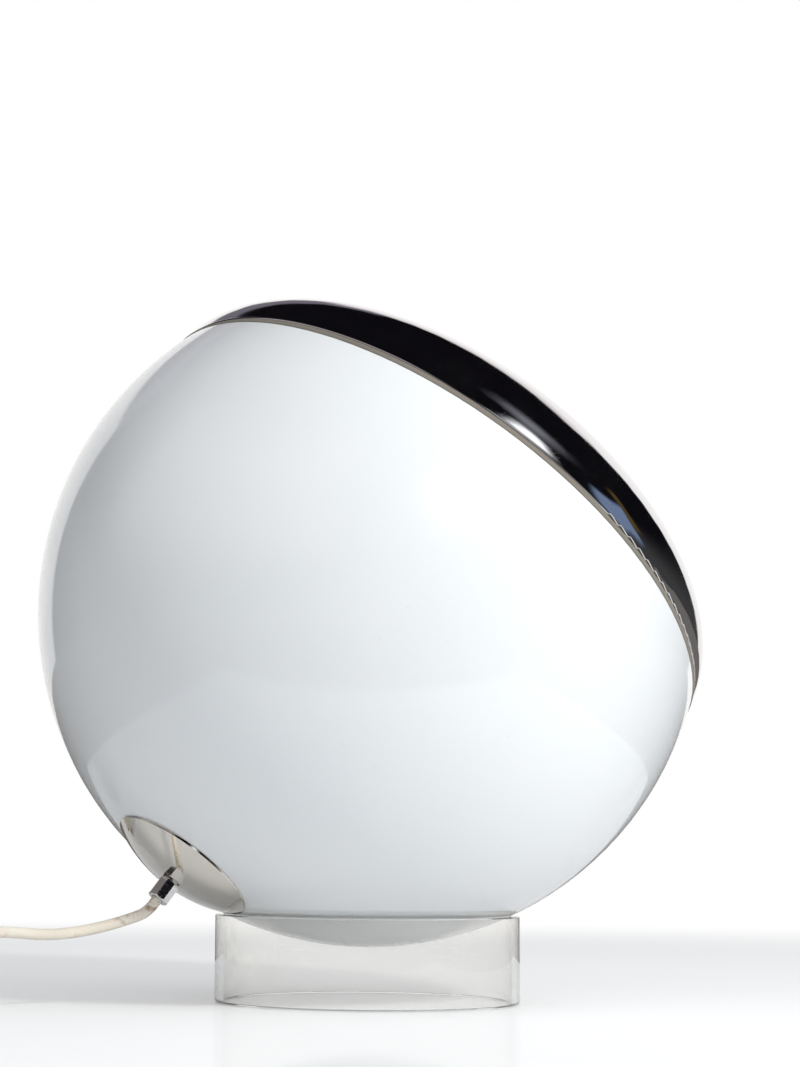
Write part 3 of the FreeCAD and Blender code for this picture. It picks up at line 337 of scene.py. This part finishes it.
def noise(tree, scale, detail=4.0, roughness=0.55, where=None):
    """Cloudy noise over a piece; a larger scale makes it finer."""
    return add_node(tree, "ShaderNodeTexNoise", {
        "Vector": where or place_on(tree), "Scale": scale, "Detail": detail, "Roughness": roughness,
    }).outputs["Fac"]


def ramp(tree, factor, start, end):
    """Runs from one colour or level to another, each given after its position along a factor."""
    node = add_node(tree, "ShaderNodeValToRGB", {"Fac": factor})
    for element, (position, colour) in zip(node.color_ramp.elements, (start, end)):
        level = colour if hasattr(colour, "__len__") else (colour, colour, colour)
        element.position = position
        element.color = (*level, 1)
    return node.outputs["Color"]


# Numbers of the colours among the mix node's inputs, and of their blend among its outputs
MIX_FIRST = 6
MIX_SECOND = 7
MIX_RESULT = 2


def mix(tree, factor, first, second):
    """Blends two colours."""
    return add_node(tree, "ShaderNodeMix", {0: factor, MIX_FIRST: first, MIX_SECOND: second},
                    data_type="RGBA").outputs[MIX_RESULT]


def combine(tree, operation, first, second):
    """The result of a maths operation on two values."""
    return add_node(tree, "ShaderNodeMath", {0: first, 1: second}, operation=operation).outputs[0]


def convert(tree, operation, value):
    """The result of a maths operation on one value."""
    return add_node(tree, "ShaderNodeMath", {0: value}, operation=operation).outputs[0]


def relief(tree, height, depth, strength):
    """A surface direction with relief of a depth in metres."""
    return add_node(tree, "ShaderNodeBump", {
        "Height": height, "Distance": depth, "Strength": strength}).outputs[0]


def shaded(colour, factor):
    """A colour made darker or lighter, up to full brightness."""
    return tuple(min(1, channel * factor) for channel in colour)


SCRATCH_STRETCH = 60.0


def scratches(tree, scale, turn):
    """Fine long marks in one direction: 0 nearly everywhere, 1 on a mark."""
    where = place_on(tree, (1, SCRATCH_STRETCH, SCRATCH_STRETCH), turn)
    streaks = noise(tree, scale, detail=2.0, roughness=0.5, where=where)
    return ramp(tree, streaks, start=(0.66, 0.0), end=(0.70, 1.0))


def crossed_scratches(tree, first, second):
    """Scratches in two directions, each given by its scale and its turn."""
    return combine(tree, "MAXIMUM", scratches(tree, *first), scratches(tree, *second))


# Opal glass
GLASS_DIM = (0.845, 0.872, 0.892)
GLASS_BRIGHT = (0.885, 0.905, 0.918)
GLASS_SPECK = (0.62, 0.60, 0.56)
GLASS_SPECK_SHARE = 0.25


def opal_glass():
    """White cased glass: a milky body under a clear glossy coat, faintly uneven as hand work is."""
    material, tree, shader = new_material("opal_glass")
    cloud = noise(tree, scale=5.0, detail=3.0, roughness=0.5)
    body = ramp(tree, cloud, start=(0.30, GLASS_DIM), end=(0.70, GLASS_BRIGHT))
    dots = noise(tree, scale=420.0, detail=2.0, roughness=0.6)
    specks = ramp(tree, dots, start=(0.735, 0.0), end=(0.76, 1.0))
    ripple = noise(tree, scale=9.0, detail=1.0, roughness=0.4)
    grain = noise(tree, scale=60.0, detail=2.0, roughness=0.5)
    fill(tree, shader, {
        "Base Color": mix(tree, combine(tree, "MULTIPLY", specks, GLASS_SPECK_SHARE), body, GLASS_SPECK),
        "Roughness": ramp(tree, noise(tree, scale=30.0), start=(0.3, 0.30), end=(0.7, 0.42)),
        "IOR": 1.45,
        "Subsurface Weight": 0.15,
        "Subsurface Radius": (1.0, 1.0, 1.0),
        "Subsurface Scale": 3.0 * MM,
        "Coat Weight": 1.0,
        "Coat Roughness": 0.035,
        "Coat IOR": 1.52,
        "Coat Normal": relief(tree, ripple, depth=0.6 * MM, strength=0.5),
        "Normal": relief(tree, grain, depth=0.05 * MM, strength=0.4),
    })
    return material


# Metals, each with its smoothest and roughest finish where it is smudged
METAL_SCRATCHES = ((26.0, (0.3, 0.5, 0.9)), (21.0, (1.1, 0.2, 2.2)))
METAL_SCRATCH_SHARE = 0.10
METAL_SCRATCH_SHADE = 0.8
METALS = {
    "chrome": dict(colour=(0.80, 0.80, 0.81), smoothest=0.015, roughest=0.13,
                   smudge_scale=18.0, scratch_depth=0.6, tint=0.06),
    "aged_chrome": dict(colour=(0.83, 0.79, 0.73), smoothest=0.02, roughest=0.09,
                        smudge_scale=30.0, scratch_depth=0.6, tint=0.10),
    "zinc_steel": dict(colour=(0.60, 0.61, 0.60), smoothest=0.22, roughest=0.40,
                       smudge_scale=60.0, scratch_depth=0.8, tint=0.15),
    "brass": dict(colour=(0.74, 0.57, 0.27), smoothest=0.18, roughest=0.38,
                  smudge_scale=70.0, scratch_depth=0.8, tint=0.25),
    "cap_metal": dict(colour=(0.78, 0.78, 0.78), smoothest=0.20, roughest=0.36,
                      smudge_scale=60.0, scratch_depth=0.8, tint=0.12),
    "filament": dict(colour=(0.75, 0.55, 0.22), smoothest=0.30, roughest=0.50,
                     smudge_scale=90.0, scratch_depth=0.5, tint=0.2),
    "nickel": dict(colour=(0.72, 0.70, 0.66), smoothest=0.12, roughest=0.28,
                   smudge_scale=80.0, scratch_depth=0.8, tint=0.12),
}


def metal(name, colour, smoothest, roughest, smudge_scale, scratch_depth, tint):
    """Bare or plated metal: smudged roughness, fine scratches in two directions."""
    material, tree, shader = new_material(name)
    smudge = noise(tree, smudge_scale, detail=5.0, roughness=0.6)
    finish = ramp(tree, smudge, start=(0.35, smoothest), end=(0.75, roughest))
    smudged = mix(tree, smudge, shaded(colour, 1 - tint), colour)
    marks = crossed_scratches(tree, *METAL_SCRATCHES)
    mark_share = combine(tree, "MULTIPLY", marks, METAL_SCRATCH_SHARE)
    grooves = combine(tree, "MULTIPLY", marks, -scratch_depth)
    surface = combine(tree, "ADD", grooves, noise(tree, scale=700.0, detail=2.0))
    fill(tree, shader, {
        "Base Color": mix(tree, mark_share, smudged, shaded(colour, METAL_SCRATCH_SHADE)),
        "Roughness": combine(tree, "ADD", finish, mark_share),
        "Metallic": 1.0,
        "Normal": relief(tree, surface, depth=0.02 * MM, strength=0.12),
    })
    return material


# Clear acrylic
ACRYLIC_DIM = (0.985, 0.990, 0.982)
ACRYLIC_BRIGHT = (0.997, 0.998, 0.995)
ACRYLIC_SCRATCHES = ((30.0, (0.2, 0.9, 0.4)), (24.0, (0.9, 0.3, 1.7)))
ACRYLIC_SCRATCH_SHARE = 0.12
ACRYLIC_AGE = (0.60, 0.45, 0.20)
ACRYLIC_DENSITY = 6.0
LAMPLIGHT_LET_THROUGH = 0.9


def clear_acrylic():
    """Clear acrylic: slightly yellow with age, finely scratched, and open to the lamps' light."""
    material, tree, shader = new_material("clear_acrylic")
    tone = noise(tree, scale=12.0, detail=3.0)
    scuffs = ramp(tree, noise(tree, scale=90.0), start=(0.45, 0.0), end=(0.8, 0.05))
    marks = crossed_scratches(tree, *ACRYLIC_SCRATCHES)
    to_lamp = add_node(tree, "ShaderNodeLightPath").outputs["Is Shadow Ray"]
    let_through = combine(tree, "MULTIPLY", to_lamp, LAMPLIGHT_LET_THROUGH)
    fill(tree, shader, {
        "Base Color": ramp(tree, tone, start=(0.3, ACRYLIC_DIM), end=(0.7, ACRYLIC_BRIGHT)),
        "Roughness": combine(tree, "ADD", scuffs, combine(tree, "MULTIPLY", marks, ACRYLIC_SCRATCH_SHARE)),
        "IOR": 1.49,
        "Transmission Weight": 1.0,
        "Alpha": combine(tree, "SUBTRACT", 1.0, let_through),
        "Normal": relief(tree, marks, depth=0.02 * MM, strength=0.3),
    })
    age = add_node(tree, "ShaderNodeVolumeAbsorption", {"Color": ACRYLIC_AGE, "Density": ACRYLIC_DENSITY})
    output = next(node for node in tree.nodes if node.type == "OUTPUT_MATERIAL")
    feed(tree, output.inputs["Volume"], age.outputs[0])
    return material


# Plastics, rubbers and porcelain
CREAM_DIRT = (0.45, 0.38, 0.28)
PLASTIC_DIM = 0.93
PLASTIC_BRIGHT = 1.05
PLASTIC_SMOOTHER = 0.05
PLASTIC_ROUGHER = 0.07
PLASTICS = {
    "rubber": dict(colour=(0.05, 0.05, 0.05), rough=0.62, grain=500.0, grain_depth=0.04 * MM,
                   dirt=(0.16, 0.15, 0.14), dirt_share=0.3),
    "gasket_grey": dict(colour=(0.235, 0.212, 0.180), rough=0.75, grain=400.0, grain_depth=0.05 * MM,
                        dirt=(0.13, 0.11, 0.09), dirt_share=0.4),
    "holder_plastic": dict(colour=(0.035, 0.033, 0.03), rough=0.30, grain=600.0,
                           dirt=(0.12, 0.10, 0.08), dirt_share=0.25),
    "porcelain": dict(colour=(0.84, 0.82, 0.77), rough=0.42, grain=300.0, grain_depth=0.03 * MM,
                      dirt=(0.5, 0.45, 0.38), dirt_share=0.10, coat=0.3),
    "core_live": dict(colour=(0.23, 0.10, 0.045), rough=0.35),
    "core_neutral": dict(colour=(0.04, 0.12, 0.42), rough=0.35),
    "switch_plastic": dict(colour=(0.78, 0.72, 0.60), rough=0.30, grain=800.0, grain_depth=0.03 * MM,
                           coat=0.2),
    "rocker_plastic": dict(colour=(0.66, 0.60, 0.48), rough=0.28, grain=800.0, grain_depth=0.03 * MM,
                           coat=0.2),
    "plug_plastic": dict(colour=(0.78, 0.72, 0.60), rough=0.32, grain=700.0, grain_depth=0.04 * MM,
                         coat=0.15),
}


def plastic(name, colour, rough, grain=900.0, grain_depth=0.02 * MM, dirt=CREAM_DIRT, dirt_share=0.12,
            coat=0.0):
    """Moulded plastic: fine grain, slight unevenness of colour, some dirt in patches."""
    material, tree, shader = new_material(name)
    patch = noise(tree, scale=35.0, detail=5.0, roughness=0.6)
    darker = shaded(colour, PLASTIC_DIM)
    lighter = shaded(colour, PLASTIC_BRIGHT)
    clean = ramp(tree, patch, start=(0.3, darker), end=(0.7, lighter))
    finish = ramp(tree, patch, start=(0.3, rough - PLASTIC_SMOOTHER), end=(0.7, rough + PLASTIC_ROUGHER))
    spots = noise(tree, scale=70.0, detail=6.0, roughness=0.7)
    grime = ramp(tree, spots, start=(0.55, 0.0), end=(0.8, 1.0))
    fill(tree, shader, {
        "Base Color": mix(tree, combine(tree, "MULTIPLY", grime, dirt_share), clean, dirt),
        "Roughness": finish,
        "Coat Weight": coat,
        "Coat Roughness": 0.12,
        "Normal": relief(tree, noise(tree, grain, detail=2.0), grain_depth, strength=0.5),
    })
    return material


# The lead's sheath
SHEATH_DIM = (0.82, 0.745, 0.625)
SHEATH_BRIGHT = (0.90, 0.845, 0.745)
SHEATH_STAIN = (0.33, 0.17, 0.07)
SHEATH_STAIN_SHARE = 0.8
SHEATH_STAIN_REACH = 0.045
SHEATH_STAIN_RAISED = -0.6
SHEATH_DIRT = (0.52, 0.40, 0.26)
SHEATH_DIRT_SHARE = 0.35


def cord_sheath():
    """Aged cream sheath, faintly dirty, with sunken brown stains close to the gland."""
    material, tree, shader = new_material("cord_sheath")
    tone = noise(tree, scale=40.0, roughness=0.6)
    clean = ramp(tree, tone, start=(0.3, SHEATH_DIM), end=(0.7, SHEATH_BRIGHT))
    along = add_node(tree, "ShaderNodeAttribute", attribute_name="along").outputs["Fac"]
    near = ramp(tree, along, start=(0.0, 1.0), end=(SHEATH_STAIN_REACH, 0.0))
    spots = noise(tree, scale=160.0, detail=5.0, roughness=0.65)
    blotch = ramp(tree, spots, start=(0.50, 0.0), end=(0.60, 1.0))
    stain = combine(tree, "MULTIPLY", near, blotch)
    stained = mix(tree, combine(tree, "MULTIPLY", stain, SHEATH_STAIN_SHARE), clean, SHEATH_STAIN)
    grime = noise(tree, scale=95.0, detail=5.0, roughness=0.7)
    faint = ramp(tree, grime, start=(0.58, 0.0), end=(0.72, SHEATH_DIRT_SHARE))
    sunken = combine(tree, "MULTIPLY", stain, SHEATH_STAIN_RAISED)
    surface = combine(tree, "ADD", noise(tree, scale=260.0, roughness=0.6), sunken)
    fill(tree, shader, {
        "Base Color": mix(tree, faint, stained, SHEATH_DIRT),
        "Roughness": ramp(tree, noise(tree, scale=120.0), start=(0.3, 0.38), end=(0.7, 0.55)),
        "Subsurface Weight": 0.08,
        "Subsurface Scale": 1.5 * MM,
        "Normal": relief(tree, surface, depth=0.1 * MM, strength=0.5),
    })
    return material


# The bulb's glass
BULB_DIM = (0.94, 0.94, 0.91)
BULB_BRIGHT = (0.98, 0.98, 0.96)


def bulb_clear():
    """The bulb's clear glass, a little dusty."""
    material, tree, shader = new_material("bulb_clear")
    dust = noise(tree, scale=80.0, detail=6.0, roughness=0.7)
    ripple = noise(tree, scale=40.0, detail=2.0)
    fill(tree, shader, {
        "Base Color": ramp(tree, noise(tree, scale=25.0), start=(0.3, BULB_DIM), end=(0.7, BULB_BRIGHT)),
        "Roughness": ramp(tree, dust, start=(0.5, 0.0), end=(0.9, 0.12)),
        "IOR": 1.45,
        "Transmission Weight": 1.0,
        "Normal": relief(tree, ripple, depth=0.04 * MM, strength=0.3),
    })
    return material


OTHER_MATERIALS = {
    "opal_glass": opal_glass,
    "clear_acrylic": clear_acrylic,
    "cord_sheath": cord_sheath,
    "bulb_clear": bulb_clear,
}

# Parts whose finish differs a little from the rest of their slot
OWN_FINISH = {"bottom_disc": "aged_chrome"}


def make_material(name):
    if name in METALS:
        return metal(name, **METALS[name])
    if name in PLASTICS:
        return plastic(name, **PLASTICS[name])
    return OTHER_MATERIALS[name]()


def dress_nodes():
    """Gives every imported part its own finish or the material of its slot."""
    made = {}
    for part in frame["record"]["subparts"]:
        name = OWN_FINISH.get(part["node"], part["material_slot"])
        if name not in made:
            made[name] = make_material(name)
        mesh = nodes[part["node"]].data
        mesh.materials.clear()
        mesh.materials.append(made[name])
    return made


# The studio: level ways ahead of the camera and to its right, and up
LOOK = Vector((math.sin(math.radians(-CAMERA_HEADING)), math.cos(math.radians(-CAMERA_HEADING)), 0))
RIGHT = Vector((LOOK.y, -LOOK.x, 0))
UP = Vector((0, 0, 1))


def reach(tree, vector, way):
    """How far a vector reaches along one of the studio's ways."""
    return add_node(tree, "ShaderNodeVectorMath", {0: vector, 1: tuple(way)},
                    operation="DOT_PRODUCT").outputs["Value"]


def smooth_step(tree, value, low, high):
    """Rises smoothly from 0 at the low value to 1 at the high one."""
    return add_node(tree, "ShaderNodeMapRange", {"Value": value, "From Min": low, "From Max": high},
                    interpolation_type="SMOOTHSTEP").outputs[0]


def between(tree, value, low, high, soft):
    """1 between two values and 0 outside them, with soft edges."""
    rise = smooth_step(tree, value, low - soft, low + soft)
    fall = smooth_step(tree, value, high - soft, high + soft)
    return combine(tree, "SUBTRACT", rise, fall)


def blend_shaders(tree, share, first, second):
    """The first node's shader, with a share of the second's."""
    return add_node(tree, "ShaderNodeMixShader", {0: share, 1: first.outputs[0], 2: second.outputs[0]})


# The table top, a square that fades to white between two distances from its middle
FLOOR_SIZE = 12.0
FLOOR_DROP = 0.2 * MM
FLOOR_DIM = (0.915, 0.92, 0.925)
FLOOR_BRIGHT = (0.935, 0.94, 0.945)
FLOOR_IOR = 1.45
FLOOR_GLOSS = 0.28
FLOOR_PALENESS = 0.11
FADE_START = 0.75
FADE_END = 1.5

# The smaller square that mirrors see of it, and the colour of what they see beyond
TABLE_HALF = 0.46
TABLE_EDGE_SOFT = 0.004
FAR_FLOOR = (0.16, 0.15, 0.145)


def table_surface(tree, rays):
    """Pale and glossy, with its gloss held back at low angles, and a little paler where it is seen."""
    ripple = relief(tree, noise(tree, scale=30.0, detail=2.0), depth=0.03 * MM, strength=0.3)
    tone = noise(tree, scale=3.0, detail=3.0)
    colour = ramp(tree, tone, start=(0.3, FLOOR_DIM), end=(0.7, FLOOR_BRIGHT))
    plain = add_node(tree, "ShaderNodeBsdfDiffuse", {"Color": colour, "Normal": ripple})
    rough = ramp(tree, noise(tree, scale=14.0), start=(0.3, 0.03), end=(0.7, 0.06))
    gloss = add_node(tree, "ShaderNodeBsdfGlossy", {"Roughness": rough, "Normal": ripple})
    sheen = add_node(tree, "ShaderNodeFresnel", {"IOR": FLOOR_IOR}).outputs[0]
    glossy_top = blend_shaders(tree, combine(tree, "MINIMUM", sheen, FLOOR_GLOSS), plain, gloss)
    in_view = combine(tree, "MAXIMUM", rays["Is Camera Ray"], rays["Is Transmission Ray"])
    paleness = combine(tree, "MULTIPLY", in_view, FLOOR_PALENESS)
    pale = add_node(tree, "ShaderNodeEmission", {"Strength": paleness})
    return add_node(tree, "ShaderNodeAddShader", {0: glossy_top.outputs[0], 1: pale.outputs[0]})


def mirrored_past_table(tree, own, rays):
    """1 where a mirror, with no clear plastic in the way, sees the floor beyond the smaller square."""
    on_table = combine(
        tree, "MULTIPLY",
        between(tree, reach(tree, own, RIGHT), -TABLE_HALF, TABLE_HALF, TABLE_EDGE_SOFT),
        between(tree, reach(tree, own, LOOK), -TABLE_HALF, TABLE_HALF, TABLE_EDGE_SOFT))
    mirrored = combine(tree, "SUBTRACT", rays["Is Glossy Ray"], rays["Is Transmission Ray"])
    return combine(tree, "MULTIPLY", combine(tree, "SUBTRACT", 1.0, on_table),
                   combine(tree, "MAXIMUM", mirrored, 0.0))


def floor_material():
    """Glossy white table top, fading to the plain backdrop; mirrors see it end as a table does."""
    material = bpy.data.materials.new("table_top")
    tree = empty_tree(material)
    rays = add_node(tree, "ShaderNodeLightPath").outputs
    own = add_node(tree, "ShaderNodeTexCoord").outputs["Object"]
    away = add_node(tree, "ShaderNodeVectorMath", {0: own}, operation="LENGTH").outputs["Value"]
    not_bounced = combine(tree, "SUBTRACT", 1.0, rays["Is Diffuse Ray"])
    fading = combine(tree, "MULTIPLY", smooth_step(tree, away, FADE_START, FADE_END), not_bounced)
    white = add_node(tree, "ShaderNodeEmission", {"Strength": 1.0})
    seen = blend_shaders(tree, fading, table_surface(tree, rays), white)
    beyond = add_node(tree, "ShaderNodeEmission", {"Color": FAR_FLOOR, "Strength": 1.0})
    whole = blend_shaders(tree, mirrored_past_table(tree, own, rays), seen, beyond)
    add_node(tree, "ShaderNodeOutputMaterial", {"Surface": whole.outputs[0]})
    return material


def make_floor():
    """A flat square just under the lamp."""
    half = FLOOR_SIZE / 2
    corners = [(-half, -half), (half, -half), (half, half), (-half, half)]
    mesh = bpy.data.meshes.new("floor")
    mesh.from_pydata([(x, y, -FLOOR_DROP) for x, y in corners], [], [(0, 1, 2, 3)])
    mesh.materials.append(floor_material())
    stage = bpy.data.objects.new("floor", mesh)
    scene.collection.objects.link(stage)


# What mirrors see of the studio, each thing over those before it: its reach in degrees, to the right of
# straight ahead and up from level, the softness of its edges and its colour; the rest is dark
DARK_STUDIO = (0.004, 0.0035, 0.005)
LOW_SURROUNDINGS = ((-180, 180), (-90, 10), 9.0, (0.05, 0.05, 0.052))
LEFT_PANEL = ((-165, -75), (16, 52), 10.0, (0.44, 0.405, 0.385))
DIM_STRIP = ((-42, 8), (20, 41), 1.5, (0.17, 0.155, 0.19))
PALE_STRIP = ((2, 37), (20, 35), 2.5, (0.86, 0.80, 0.80))
BACKDROP = ((-39.5, 37), (-90, 29), 1.5, (1.0, 0.985, 0.975))
BLUE_PATCH = ((90, 112), (6, 20), 2.0, (0.17, 0.23, 0.36))
BROWN_EDGE = ((84, 90), (12, 26), 1.5, (0.09, 0.06, 0.02))
HIGH_HAZE = ((104, 124), (38, 54), 9.0, (0.22, 0.22, 0.25))
BRIGHT_PANEL = ((128, 160), (24, 40), 6.0, (1.7, 1.73, 1.78))
REFLECTED = [LOW_SURROUNDINGS, LEFT_PANEL, DIM_STRIP, PALE_STRIP, BACKDROP, BLUE_PATCH, BROWN_EDGE,
             HIGH_HAZE, BRIGHT_PANEL]

# The soft light's colour, its level and how that changes to the right, ahead and up: most comes from
# above and from behind the camera
SOFT_COLOUR = (0.94, 0.97, 1.0)
SOFT_LEVEL = 0.41
SOFT_RIGHT = 0.10
SOFT_AHEAD = -0.21
SOFT_UP = 0.22


def mirrored_room(tree, right, ahead, up):
    """The colour that mirrors see in a direction."""
    around = convert(tree, "DEGREES", combine(tree, "ARCTAN2", right, ahead))
    upward = convert(tree, "DEGREES", convert(tree, "ARCSINE", up))
    colour = DARK_STUDIO
    for (left_end, right_end), (low_end, high_end), soft, own_colour in REFLECTED:
        share = combine(tree, "MULTIPLY", between(tree, around, left_end, right_end, soft),
                        between(tree, upward, low_end, high_end, soft))
        colour = mix(tree, share, colour, own_colour)
    return colour


def soft_strength(tree, right, ahead, up):
    """How strong the soft light is in a direction."""
    trend = combine(tree, "ADD", combine(tree, "MULTIPLY", right, SOFT_RIGHT),
                    combine(tree, "ADD", combine(tree, "MULTIPLY", ahead, SOFT_AHEAD),
                            combine(tree, "MULTIPLY", up, SOFT_UP)))
    return combine(tree, "ADD", SOFT_LEVEL, trend)


def make_world():
    """White behind what is seen or looked through, the dark studio in mirrors, and soft light."""
    scene.world = bpy.data.worlds.new("studio")
    tree = empty_tree(scene.world)
    outward = add_node(tree, "ShaderNodeTexCoord").outputs["Generated"]
    parts = [reach(tree, outward, way) for way in (RIGHT, LOOK, UP)]
    soft_light = add_node(tree, "ShaderNodeBackground", {
        "Color": SOFT_COLOUR, "Strength": soft_strength(tree, *parts)})
    mirror_light = add_node(tree, "ShaderNodeBackground", {
        "Color": mirrored_room(tree, *parts), "Strength": 1.0})
    white = add_node(tree, "ShaderNodeBackground", {"Color": (1, 1, 1), "Strength": 1.0})
    rays = add_node(tree, "ShaderNodeLightPath").outputs
    unseen = blend_shaders(tree, rays["Is Glossy Ray"], soft_light, mirror_light)
    seen = combine(tree, "MAXIMUM", rays["Is Camera Ray"], rays["Is Transmission Ray"])
    whole = blend_shaders(tree, seen, unseen, white)
    add_node(tree, "ShaderNodeOutputWorld", {"Surface": whole.outputs[0]})


# The point inside the glass ball that the lights are aimed at
AIM = Vector((0, 0, 0.2))


def toward(right, ahead, up):
    """A direction from its parts to the right of the camera's view, ahead along it and up."""
    return (RIGHT * right + LOOK * ahead + UP * up).normalized()


def soft_box(name, way, distance, size, power, colour):
    """A square soft light in a direction from the point that it is aimed at."""
    data = bpy.data.lights.new(name, "AREA")
    data.size = size
    data.energy = power
    data.color = colour
    light = bpy.data.objects.new(name, data)
    scene.collection.objects.link(light)
    facing = way.to_track_quat("Z", "Y").to_matrix().to_4x4()
    light.matrix_world = Matrix.Translation(AIM + way * distance) @ facing
    light.visible_glossy = False
    light.visible_transmission = False
    light.visible_camera = False


def make_lights():
    soft_box("key", toward(right=0.68, ahead=-0.81, up=0.66), distance=2.2, size=0.35, power=25.0,
             colour=(1.0, 0.985, 0.96))
    soft_box("fill", toward(right=1.0, ahead=-0.18, up=0.27), distance=2.0, size=1.2, power=6.0,
             colour=(0.95, 0.98, 1.0))


scene.view_settings.view_transform = "Standard"
make_camera()
lead = make_lead()
rest_of_lead = make_rest_of_lead()
made = dress_nodes()
for piece in (lead, rest_of_lead):
    piece.data.materials.clear()
    piece.data.materials.append(made["cord_sheath"])
make_floor()
make_world()
make_lights()
